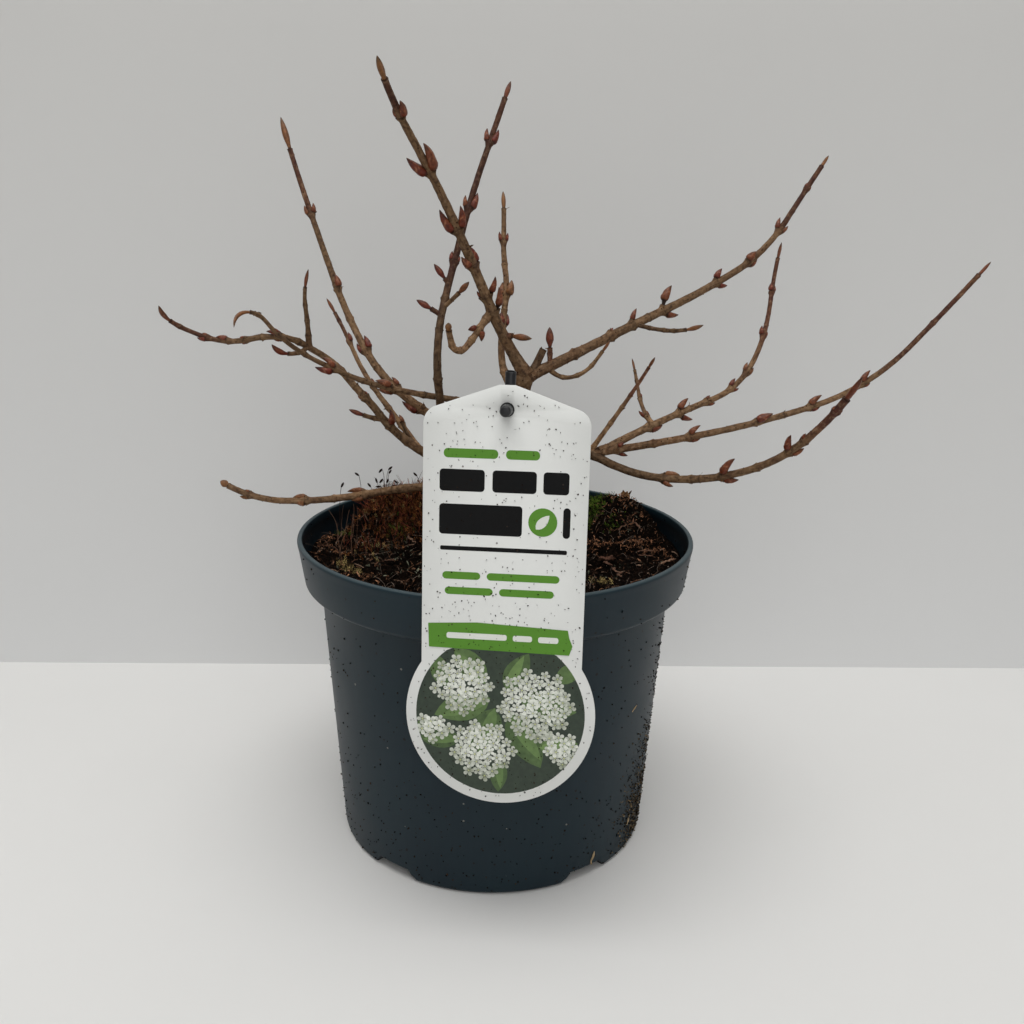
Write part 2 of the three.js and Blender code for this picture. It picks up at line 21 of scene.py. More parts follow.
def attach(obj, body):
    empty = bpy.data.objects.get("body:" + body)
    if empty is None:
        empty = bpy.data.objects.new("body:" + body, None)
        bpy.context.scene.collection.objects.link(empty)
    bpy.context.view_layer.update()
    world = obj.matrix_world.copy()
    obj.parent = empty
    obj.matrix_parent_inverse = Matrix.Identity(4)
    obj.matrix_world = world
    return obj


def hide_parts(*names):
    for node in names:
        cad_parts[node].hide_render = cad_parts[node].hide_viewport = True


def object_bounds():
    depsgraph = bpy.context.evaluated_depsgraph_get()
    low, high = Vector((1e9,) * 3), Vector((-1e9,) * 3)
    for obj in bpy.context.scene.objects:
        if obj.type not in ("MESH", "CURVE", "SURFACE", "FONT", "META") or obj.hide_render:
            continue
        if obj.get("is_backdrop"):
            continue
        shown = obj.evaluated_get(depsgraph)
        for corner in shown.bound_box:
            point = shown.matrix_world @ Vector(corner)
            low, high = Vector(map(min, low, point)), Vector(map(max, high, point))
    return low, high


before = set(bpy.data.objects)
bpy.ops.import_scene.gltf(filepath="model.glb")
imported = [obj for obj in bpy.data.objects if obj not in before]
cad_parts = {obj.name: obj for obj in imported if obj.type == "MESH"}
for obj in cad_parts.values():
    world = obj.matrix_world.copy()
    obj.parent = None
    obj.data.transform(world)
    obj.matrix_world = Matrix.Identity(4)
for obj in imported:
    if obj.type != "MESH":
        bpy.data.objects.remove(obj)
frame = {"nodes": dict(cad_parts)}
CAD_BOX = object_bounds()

MM = 0.001
BODY = "root"
GOLDEN_ANGLE = math.radians(137.508)
Colour = tuple[float, float, float, float]
Point = tuple[float, float, float]
Profile = tuple[float, ...]
log = logging.getLogger("viburnum")


def tone(red: int, green: int, blue: int) -> Colour:
    """Turns a display colour from 0 to 255 into the linear colour that shaders use."""

    def linear(value: int) -> float:
        share = value / 255
        return share / 12.92 if share <= 0.04045 else ((share + 0.055) / 1.055) ** 2.4

    return (linear(red), linear(green), linear(blue), 1.0)


def smoothstep(low: float, high: float, value: np.ndarray) -> np.ndarray:
    """Eases from 0 at low to 1 at high."""
    share = np.clip((value - low) / (high - low), 0.0, 1.0)
    return share * share * (3 - 2 * share)


# ---------------------------------------------------------------- meshes


@dataclass
class Shell:
    """A mesh that is put together from parts, with named values kept at its points."""

    points: list[np.ndarray] = field(default_factory=list)
    faces: list[np.ndarray] = field(default_factory=list)
    values: dict[str, list[np.ndarray]] = field(default_factory=dict)
    count: int = 0

    def add(self, points: np.ndarray, faces: Iterable[np.ndarray], **values: np.ndarray | float) -> None:
        """Adds one part.

        Args:
            points: An (n, 3) array of places in millimetres.
            faces: Arrays of point numbers, one array for each number of corners.
            values: For each name, one number or vector, or an array with one for each point.
        """
        self.points.append(np.asarray(points, float))
        self.faces.extend(np.asarray(group, int) + self.count for group in faces if len(group))
        for name, value in values.items():
            full = np.broadcast_to(value, (len(points), *np.shape(value)[1:])).astype(float)
            self.values.setdefault(name, []).append(full)
        self.count += len(points)

    def lay(self, piece: "Shell", turn: Matrix, place: np.ndarray | list[float], **values: float) -> None:
        """Adds another mesh, turned about the origin and then moved to its place."""
        self.add(np.vstack(piece.points) @ np.array(turn).T + place, piece.faces, **values)

    def build(self, name: str, sharp: float = 50.0) -> bpy.types.Object:
        """Makes the object.

        Args:
            name: The name of the object and its mesh.
            sharp: Edges steeper than this many degrees stay crisp.

        Returns:
            The new object, at the origin, in metres.
        """
        mesh = bpy.data.meshes.new(name)
        corners = [face for group in self.faces for face in group.tolist()]
        mesh.from_pydata((np.vstack(self.points) * MM).tolist(), [], corners)
        for key, parts in self.values.items():
            flat = np.concatenate(parts)
            kind, slot = ("FLOAT_VECTOR", "vector") if flat.ndim == 2 else ("FLOAT", "value")
            layer = mesh.attributes.new(key, kind, "POINT")
            layer.data.foreach_set(slot, flat.ravel())
        mesh.shade_smooth()
        mesh.set_sharp_from_angle(angle=math.radians(sharp))
        mesh.validate()
        return put_in_scene(bpy.data.objects.new(name, mesh))


def put_in_scene(item: bpy.types.Object) -> bpy.types.Object:
    """Links an object to the scene and returns it."""
    bpy.context.scene.collection.objects.link(item)
    return item


def tube_faces(rings: int, sides: int) -> list[np.ndarray]:
    """Faces of a tube whose rings are numbered one after another, then its two cap points.

    Args:
        rings: How many rings of points there are.
        sides: How many points each ring has.

    Returns:
        The side faces, then the cap faces, wound so that they face outwards when the ring
        runs from the side axis to the face axis of a limb.
    """
    ring, place = np.meshgrid(np.arange(rings - 1), np.arange(sides), indexing="ij")
    after = (place + 1) % sides
    low, high = ring * sides, (ring + 1) * sides
    quads = np.stack([low + place, high + place, high + after, low + after], axis=-1).reshape(-1, 4)
    around = np.arange(sides)
    ahead = (around + 1) % sides
    foot, tip, last = rings * sides, rings * sides + 1, (rings - 1) * sides
    start = np.stack([np.full(sides, foot), around, ahead], axis=-1)
    end = np.stack([np.full(sides, tip), last + ahead, last + around], axis=-1)
    return [quads, start, end]


def turned_faces(rows: int, columns: int) -> list[np.ndarray]:
    """Faces of a closed loop of profile points, turned full circle about the Z axis."""
    row, column = np.meshgrid(np.arange(rows), np.arange(columns), indexing="ij")
    below, beside = (row + 1) % rows, (column + 1) % columns
    corners = [row * columns + column, row * columns + beside]
    corners += [below * columns + beside, below * columns + column]
    return [np.stack(corners, axis=-1).reshape(-1, 4)]


def rounded(profile: Sequence[tuple[float, float]], radius: float, steps: int = 3) -> np.ndarray:
    """Rounds every corner of a closed profile.

    Args:
        profile: The corners, as pairs of radius and height.
        radius: The most that a corner is cut back along each side.
        steps: How many short edges stand for each corner.

    Returns:
        The rounded profile as an (n, 2) array.
    """
    points = [np.array(point, float) for point in profile]
    result = []
    for before, corner, after in zip([points[-1], *points], points, [*points[1:], points[0]]):
        to_before, to_after = before - corner, after - corner
        reach = min(radius, 0.45 * np.linalg.norm(to_before), 0.45 * np.linalg.norm(to_after))
        if corner[0] <= 0 or reach < 0.05:
            result.append(corner)
            continue
        start = corner + to_before / np.linalg.norm(to_before) * reach
        end = corner + to_after / np.linalg.norm(to_after) * reach
        for share in np.linspace(0, 1, steps + 1):
            bend = (1 - share) ** 2 * start + 2 * share * (1 - share) * corner + share**2 * end
            result.append(bend)
    return np.array(result)


def relief(point: Sequence[float], scale: float, detail: int = 2) -> float:
    """Smooth noise from about -1 to 1 with lumps `scale` millimetres across."""
    return noise.fractal(Vector(point) / scale, 0.8, 2.1, detail)


# ---------------------------------------------------------------- node trees


class Graph:
    """Adds nodes to a tree, sets their inputs and links them."""

    def __init__(self, tree: bpy.types.NodeTree) -> None:
        """Keeps the tree that the nodes go into."""
        self.tree = tree

    def add(self, kind: str, inputs: dict | None = None, **settings: object) -> bpy.types.Node:
        """Adds a node.

        Args:
            kind: The node's type name.
            inputs: Values or output sockets for its inputs, by name or number.
            settings: Properties of the node.

        Returns:
            The new node.
        """
        node = self.tree.nodes.new(kind)
        for name, value in settings.items():
            setattr(node, name, value)
        for name, value in (inputs or {}).items():
            self.feed(node.inputs[name], value)
        return node

    def feed(self, socket: bpy.types.NodeSocket, value: object) -> None:
        """Links an output to the socket, or sets the socket's own value."""
        if isinstance(value, bpy.types.NodeSocket):
            self.tree.links.new(value, socket)
        else:
            socket.default_value = value

    def math(self, operation: str, first: object, second: object = 0.0, clamp: bool = False) -> object:
        """The output of a Math node."""
        node = self.add("ShaderNodeMath", {0: first, 1: second}, operation=operation, use_clamp=clamp)
        return node.outputs[0]

    def times(self, first: object, second: object, clamp: bool = False) -> object:
        """The product of two values."""
        return self.math("MULTIPLY", first, second, clamp)

    def plus(self, first: object, second: object, clamp: bool = False) -> object:
        """The sum of two values."""
        return self.math("ADD", first, second, clamp)

    def mix(self, share: object, first: object, second: object, blend: str = "MIX") -> object:
        """The colour output of a Mix node."""
        node = self.add("ShaderNodeMix", data_type="RGBA", blend_type=blend)
        for number, value in ((0, share), (6, first), (7, second)):
            self.feed(node.inputs[number], value)
        return node.outputs[2]

    def ramp(self, share: object, stops: Sequence[tuple[float, Colour]]) -> object:
        """The colour output of a Color Ramp with the given stops."""
        node = self.add("ShaderNodeValToRGB", {0: share})
        elements = node.color_ramp.elements
        while len(elements) < len(stops):
            elements.new(0.5)
        for element, (place, colour) in zip(elements, stops):
            element.position = place
            element.color = colour
        return node.outputs[0]

    def spread(
        self, value: object, low: float, high: float, to_low: float = 0.0, to_high: float = 1.0
    ) -> object:
        """The output of a Map Range node, held between its ends."""
        numbers = {0: value, 1: low, 2: high, 3: to_low, 4: to_high}
        return self.add("ShaderNodeMapRange", numbers).outputs[0]

    def named(self, name: str, output: str = "Fac") -> object:
        """A value kept at the points of the mesh."""
        return self.add("ShaderNodeAttribute", attribute_name=name).outputs[output]

    def place(self) -> object:
        """Object coordinates, which are metres in the part's frame."""
        return self.add("ShaderNodeTexCoord").outputs["Object"]


def shader_group(
    name: str, inputs: dict[str, float | None], fill: Callable[[Graph, dict], object]
) -> bpy.types.NodeTree:
    """Builds a shader node group with one output.

    Args:
        name: The group's name.
        inputs: For each input, its default number, or None for a vector.
        fill: Adds the nodes and returns the socket for the output.

    Returns:
        The group, or the one of that name that there is.
    """
    if name in bpy.data.node_groups:
        return bpy.data.node_groups[name]
    tree = bpy.data.node_groups.new(name, "ShaderNodeTree")
    for label, default in inputs.items():
        kind = "NodeSocketVector" if default is None else "NodeSocketFloat"
        socket = tree.interface.new_socket(label, in_out="INPUT", socket_type=kind)
        if default is not None:
            socket.default_value = default
    tree.interface.new_socket("Value", in_out="OUTPUT", socket_type="NodeSocketFloat")
    graph = Graph(tree)
    source = graph.add("NodeGroupInput")
    result = fill(graph, {label: source.outputs[label] for label in inputs})
    graph.add("NodeGroupOutput", {"Value": result})
    return tree


def fill_mottle(graph: Graph, sockets: dict) -> object:
    """Cloudy patches: noise stretched to run from 0 to 1."""
    settings = {name: sockets[name] for name in ("Vector", "Scale", "Detail")}
    cloud = graph.add("ShaderNodeTexNoise", settings)
    centred = graph.math("SUBTRACT", cloud.outputs["Fac"], 0.5)
    return graph.plus(graph.times(centred, sockets["Contrast"]), 0.5, clamp=True)


def fill_specks(graph: Graph, sockets: dict) -> object:
    """Small separate spots: 1 inside a spot, 0 outside, in only some of the cells."""
    cells = graph.add("ShaderNodeTexVoronoi", {name: sockets[name] for name in ("Vector", "Scale")})
    chance = graph.add("ShaderNodeSeparateColor", {0: cells.outputs["Color"]})
    size = graph.times(sockets["Size"], chance.outputs["Green"])
    inside = graph.math("LESS_THAN", cells.outputs["Distance"], size)
    kept = graph.math("LESS_THAN", chance.outputs["Red"], sockets["Share"])
    return graph.times(inside, kept)


def mottle(graph: Graph, vector: object, scale: float, contrast: float = 2.0, detail: float = 3.0) -> object:
    """Places the mottle group in a material and returns its output."""
    tree = shader_group(
        "mottle", {"Vector": None, "Scale": 100.0, "Detail": 3.0, "Contrast": 2.0}, fill_mottle
    )
    values = {"Vector": vector, "Scale": scale, "Detail": detail, "Contrast": contrast}
    return graph.add("ShaderNodeGroup", values, node_tree=tree).outputs[0]


def specks(graph: Graph, vector: object, scale: float, size: float, share: object) -> object:
    """Places the specks group in a material and returns its output."""
    tree = shader_group("specks", {"Vector": None, "Scale": 300.0, "Size": 0.3, "Share": 0.2}, fill_specks)
    values = {"Vector": vector, "Scale": scale, "Size": size, "Share": share}
    return graph.add("ShaderNodeGroup", values, node_tree=tree).outputs[0]


def dress_surface(
    graph: Graph,
    shader: bpy.types.Node,
    colour: object,
    roughness: object,
    height: object = None,
    depth: float = 0.1,
    strength: float = 0.5,
) -> None:
    """Feeds the Principled shader.

    Args:
        graph: The material's graph.
        shader: Its Principled shader.
        colour: A colour, or a socket that gives one.
        roughness: A number, or a socket that gives one.
        height: A socket with the height of the surface's fine relief.
        depth: How deep that relief is, in millimetres.
        strength: How strongly it is shown.
    """
    graph.feed(shader.inputs["Base Color"], colour)
    graph.feed(shader.inputs["Roughness"], roughness)
    if height is not None:
        bump = graph.add("ShaderNodeBump", {"Height": height, "Strength": strength, "Distance": depth * MM})
        graph.feed(shader.inputs["Normal"], bump.outputs[0])


# ---------------------------------------------------------------- finishes


@dataclass(frozen=True)
class Finish:
    """What every finish shares; each one paints itself with its own nodes."""

    SPECULAR: ClassVar[float] = 0.5

    name: str

    def paint(self, graph: Graph, shader: bpy.types.Node, place: object) -> None:
        """Adds the nodes.

        Args:
            graph: The material's graph.
            shader: Its Principled shader.
            place: The socket of the Object coordinates.
        """
        raise NotImplementedError

    def make(self) -> bpy.types.Material:
        """Builds the material."""
        material = bpy.data.materials.new(self.name)
        material.use_nodes = True
        graph = Graph(material.node_tree)
        shader = material.node_tree.nodes["Principled BSDF"]
        self.paint(graph, shader, graph.place())
        shader.inputs["Specular IOR Level"].default_value = self.SPECULAR
        return material


@dataclass(frozen=True)
class BarkFinish(Finish):
    """Bark, from the dark stem through olive-brown wood to red-brown shoots."""

    SPECULAR: ClassVar[float] = 0.18
    AGES: ClassVar[Profile] = (0.0, 0.24, 0.52, 1.0)  # of the tip, the shoot, the wood and the stem

    name: str = "bark"
    stem: Colour = tone(92, 65, 44)
    wood: Colour = tone(119, 92, 65)
    shoot: Colour = tone(98, 66, 48)
    tip: Colour = tone(84, 46, 36)
    scar: Colour = tone(34, 19, 13)
    bloom: Colour = tone(166, 137, 107)
    shadow: Colour = tone(45, 29, 20)
    roughness: float = 0.7

    def paint(self, graph: Graph, shader: bpy.types.Node, place: object) -> None:
        """Adds the nodes, which read the values age, shade, scar and grain at the points."""
        grain = graph.named("grain", "Vector")
        blotch = mottle(graph, place, 150.0, 2.4, 4.0)
        streak = mottle(graph, grain, 2.6, 2.6, 5.0)
        patch = mottle(graph, place, 560.0, 3.0, 4.0)
        drift = graph.times(graph.math("SUBTRACT", blotch, 0.5), 0.3)
        age = graph.plus(graph.named("age"), drift, clamp=True)
        colour = graph.ramp(age, list(zip(self.AGES, (self.tip, self.shoot, self.wood, self.stem))))
        colour = graph.mix(graph.spread(streak, 0.45, 0.95, 0.0, 0.5), colour, self.shadow)
        colour = graph.mix(graph.spread(patch, 0.62, 0.98, 0.0, 0.3), colour, self.bloom)
        colour = graph.mix(graph.spread(patch, 0.36, 0.04, 0.0, 0.6), colour, self.shadow)
        colour = graph.mix(graph.named("scar"), colour, self.scar)
        level = graph.times(graph.named("shade"), graph.spread(blotch, 0.0, 1.0, 0.8, 1.12))
        colour = graph.mix(1.0, colour, level, "MULTIPLY")
        height = graph.plus(streak, graph.times(patch, 0.8))
        rough = graph.spread(blotch, 0.0, 1.0, self.roughness - 0.1, self.roughness + 0.12)
        dress_surface(graph, shader, colour, rough, height, depth=0.25, strength=0.8)


@dataclass(frozen=True)
class BudFinish(Finish):
    """Bud scales: a dark foot, red-brown sides and a darker tip, some of them tan, with pale margins that are
    partly a painted highlight.
    """

    SPECULAR: ClassVar[float] = 0.3

    name: str = "bud_scales"
    foot: Colour = tone(44, 24, 16)
    red: Colour = tone(110, 42, 25)
    red_tip: Colour = tone(52, 24, 17)
    tan: Colour = tone(138, 94, 54)
    tan_tip: Colour = tone(96, 78, 54)
    # the pale margins, partly a painted highlight along the lips of the scales
    edge: Colour = tone(158, 106, 74)
    roughness: float = 0.46

    def paint(self, graph: Graph, shader: bpy.types.Node, place: object) -> None:
        """Adds the nodes, which read the values reach, tan and scar, and the value of the pale margins, at
        the points.
        """
        reach = graph.named("reach")
        red = graph.ramp(reach, [(0.0, self.foot), (0.12, self.red), (0.58, self.red), (1.0, self.red_tip)])
        tan = graph.ramp(reach, [(0.0, self.foot), (0.07, self.tan), (0.7, self.tan), (1.0, self.tan_tip)])
        colour = graph.mix(graph.named("tan"), red, tan)
        fine = mottle(graph, place, 700.0, 2.4, 4.0)
        shade = graph.ramp(fine, [(0.0, (0.42, 0.42, 0.42, 1)), (1.0, (1.0, 1.0, 1.0, 1))])
        colour = graph.mix(1.0, colour, shade, "MULTIPLY")
        # Pale margins of the scales, partly a painted highlight.
        colour = graph.mix(graph.times(graph.named("margin"), fine), colour, self.edge)
        colour = graph.mix(graph.named("scar"), colour, self.foot)
        dress_surface(graph, shader, colour, self.roughness, fine, depth=0.14, strength=0.6)


@dataclass(frozen=True)
class PotFinish(Finish):
    """Satin blue-grey plastic with a film of dried soil towards its foot, painted shade on the inside of its
    wall and a painted highlight along the top of its rim.
    """

    SPECULAR: ClassVar[float] = 0.24

    name: str = "pot_plastic"
    plastic: Colour = tone(12, 29, 38)
    worn: Colour = tone(32, 54, 60)
    soil: Colour = tone(48, 37, 29)
    # painted shade on the inside of the wall
    inside_shade: Colour = tone(8, 13, 17)
    # painted highlight along the top of the rim
    rim_top_highlight: Colour = tone(66, 80, 84)
    roughness: float = 0.44

    def paint(self, graph: Graph, shader: bpy.types.Node, place: object) -> None:
        """Adds the nodes, which read the values at the points for dirt, caked soil, the rim's top and the
        inside of the wall.
        """
        cloud = mottle(graph, place, 26.0, 1.8, 4.0)
        colour = graph.mix(graph.times(cloud, 0.28), self.plastic, self.worn)
        stretched = graph.add("ShaderNodeMapping", {"Vector": place, "Scale": (1.0, 1.0, 0.12)})
        streaks = mottle(graph, stretched.outputs[0], 420.0, 1.6, 2.0)
        colour = graph.mix(graph.times(streaks, 0.12), colour, self.worn)
        # The top of the rim is painted lighter: a painted highlight.
        colour = graph.mix(graph.times(graph.named("worn"), 0.7), colour, self.rim_top_highlight)
        # The inside of the wall is painted darker: painted shade.
        colour = graph.mix(graph.named("inside"), colour, self.inside_shade)
        film = graph.times(graph.named("cake"), mottle(graph, place, 190.0, 3.0, 6.0))
        colour = graph.mix(graph.times(film, 0.75, clamp=True), colour, self.soil)
        share = graph.spread(graph.named("dirt"), 0.0, 1.0, 0.12, 0.75)
        spots = specks(graph, place, 420.0, 0.3, share)
        colour = graph.mix(graph.times(spots, 0.9), colour, tone(9, 7, 6))
        light = specks(graph, place, 260.0, 0.16, 0.05)
        colour = graph.mix(graph.times(light, 0.5), colour, tone(150, 146, 136))
        rough = graph.plus(graph.spread(cloud, 0.0, 1.0, self.roughness - 0.05, self.roughness + 0.07), film)
        height = graph.plus(mottle(graph, place, 1500.0, 1.2, 2.0), graph.times(spots, 2.0))
        dress_surface(graph, shader, colour, rough, height, depth=0.03, strength=0.35)


@dataclass(frozen=True)
class LooseFinish(Finish):
    """A plain tint for things strewn in great number, each a little lighter or darker."""

    SPECULAR: ClassVar[float] = 0.04
    GRAIN: ClassVar[float] = 0.35  # how much of the tint is fine grain
    TINT: ClassVar[float] = 0.65  # and how much of it is the piece's own

    dark: Colour
    light: Colour
    roughness: float = 0.9
    gloom: float = 1.0  # over 1, more of them are dark

    def paint(self, graph: Graph, shader: bpy.types.Node, place: object) -> None:
        """Adds the nodes, which read the value tint at the points."""
        fine = mottle(graph, place, 1400.0, 2.0, 3.0)
        share = graph.plus(graph.times(fine, self.GRAIN), graph.times(graph.named("tint"), self.TINT))
        colour = graph.mix(graph.math("POWER", share, self.gloom), self.dark, self.light)
        dress_surface(graph, shader, colour, self.roughness, fine, depth=0.1, strength=0.5)


@dataclass(frozen=True)
class EarthFinish(Finish):
    """Dark peaty compost between the chips; its near-black colour is partly painted shade."""

    SPECULAR: ClassVar[float] = 0.02

    name: str = "peat"
    dark: Colour = tone(4, 3, 2)
    light: Colour = tone(26, 18, 13)

    def paint(self, graph: Graph, shader: bpy.types.Node, place: object) -> None:
        """Adds the nodes."""
        coarse = mottle(graph, place, 240.0, 2.4, 6.0)
        fine = mottle(graph, place, 900.0, 2.4, 5.0)
        colour = graph.mix(graph.times(coarse, fine), self.dark, self.light)
        height = graph.plus(coarse, graph.times(fine, 0.5))
        dress_surface(graph, shader, colour, 0.95, height, depth=0.8, strength=0.8)


@dataclass(frozen=True)
class CardFinish(Finish):
    """Smooth plastic card or the ink on it, speckled with soil dust."""

    SPECULAR: ClassVar[float] = 0.12

    colour: Colour
    speck: Colour = tone(64, 52, 42)
    speck_share: float = 0.06
    roughness: float = 0.42

    def paint(self, graph: Graph, shader: bpy.types.Node, place: object) -> None:
        """Adds the nodes."""
        cloud = mottle(graph, place, 45.0, 1.5, 3.0)
        grey = graph.mix(0.12, self.colour, self.speck)
        colour = graph.mix(graph.times(cloud, 0.35), self.colour, grey)
        dust = specks(graph, place, 520.0, 0.26, self.speck_share)
        colour = graph.mix(graph.times(dust, 0.7), colour, self.speck)
        rough = graph.spread(cloud, 0.0, 1.0, self.roughness - 0.06, self.roughness + 0.1)
        fine = mottle(graph, place, 700.0, 1.0, 2.0)
        dress_surface(graph, shader, colour, rough, fine, depth=0.02, strength=0.2)


@dataclass(frozen=True)
class PictureFinish(Finish):
    """Ink of the label's picture, from shade to light by the value shade at the points."""

    dark: Colour
    light: Colour
    roughness: float = 0.4

    def paint(self, graph: Graph, shader: bpy.types.Node, place: object) -> None:
        """Adds the nodes."""
        grainy = mottle(graph, place, 420.0, 2.0, 4.0)
        share = graph.plus(graph.named("shade"), graph.times(graph.math("SUBTRACT", grainy, 0.5), 0.3))
        colour = graph.mix(graph.math("MAXIMUM", share, 0.0, clamp=True), self.dark, self.light)
        dress_surface(graph, shader, colour, self.roughness)


@dataclass(frozen=True)
class StakeFinish(Finish):
    """Dark navy moulded plastic, lightly scuffed."""

    name: str = "stake_plastic"
    plastic: Colour = tone(9, 10, 14)
    scuff: Colour = tone(34, 36, 42)

    def paint(self, graph: Graph, shader: bpy.types.Node, place: object) -> None:
        """Adds the nodes."""
        rub = graph.spread(mottle(graph, place, 480.0, 2.6, 5.0), 0.6, 1.0, 0.0, 0.5)
        colour = graph.mix(rub, self.plastic, self.scuff)
        rough = graph.spread(rub, 0.0, 0.5, 0.34, 0.55)
        fine = mottle(graph, place, 1800.0, 1.2, 2.0)
        dress_surface(graph, shader, colour, rough, fine, depth=0.03, strength=0.3)


@dataclass(frozen=True)
class StageFinish(Finish):
    """The painted table or wall, seen from its front only where it is one-sided, with painted shade that
    darkens it towards its top.
    """

    SPECULAR: ClassVar[float] = 0.25

    colour: Colour
    # painted shade: the wall's colour high up, darker than at its foot
    top_shade: Colour  # the colour high up
    shade_height: float = 400.0
    one_sided: bool = False

    def paint(self, graph: Graph, shader: bpy.types.Node, place: object) -> None:
        """Adds the nodes."""
        cloud = mottle(graph, place, 3.0, 1.2, 5.0)
        height = graph.add("ShaderNodeSeparateXYZ", {0: place}).outputs[2]
        # Painted shade: the colour darkens with height up to the given height.
        colour = graph.mix(graph.spread(height, 0.0, self.shade_height * MM), self.colour, self.top_shade)
        dress_surface(graph, shader, graph.mix(graph.times(cloud, 0.06), colour, (0, 0, 0, 1)), 0.7)
        if self.one_sided:
            back = graph.add("ShaderNodeNewGeometry").outputs["Backfacing"]
            clear = graph.add("ShaderNodeBsdfTransparent")
            both = graph.add("ShaderNodeMixShader", {0: back, 1: shader.outputs[0], 2: clear.outputs[0]})
            output = graph.tree.nodes["Material Output"]
            graph.feed(output.inputs["Surface"], both.outputs[0])


# ---------------------------------------------------------------- pieces


def seat(
    piece: bpy.types.Object, material: bpy.types.Material, replaces: Sequence[str] = ()
) -> bpy.types.Object:
    """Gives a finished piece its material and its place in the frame.

    Args:
        piece: The object, at the origin.
        material: Its only material.
        replaces: CAD nodes that it stands for.

    Returns:
        The piece.
    """
    piece.data.materials.clear()
    piece.data.materials.append(material)
    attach(piece, BODY)
    if replaces:
        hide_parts(*replaces)
    triangles = sum(len(face.vertices) - 2 for face in piece.data.polygons)
    log.info("%s: %d triangles", piece.name, triangles)
    return piece


# Values of the surfaces that the strewn copies don't keep.
SURFACE_VALUES = (
    "dirt", "cake", "inside", "worn", "age", "shade", "scar", "grain", "fleck", "bare", "russet", "stalks",
    "green", "yellow", "olive", "litter",
)


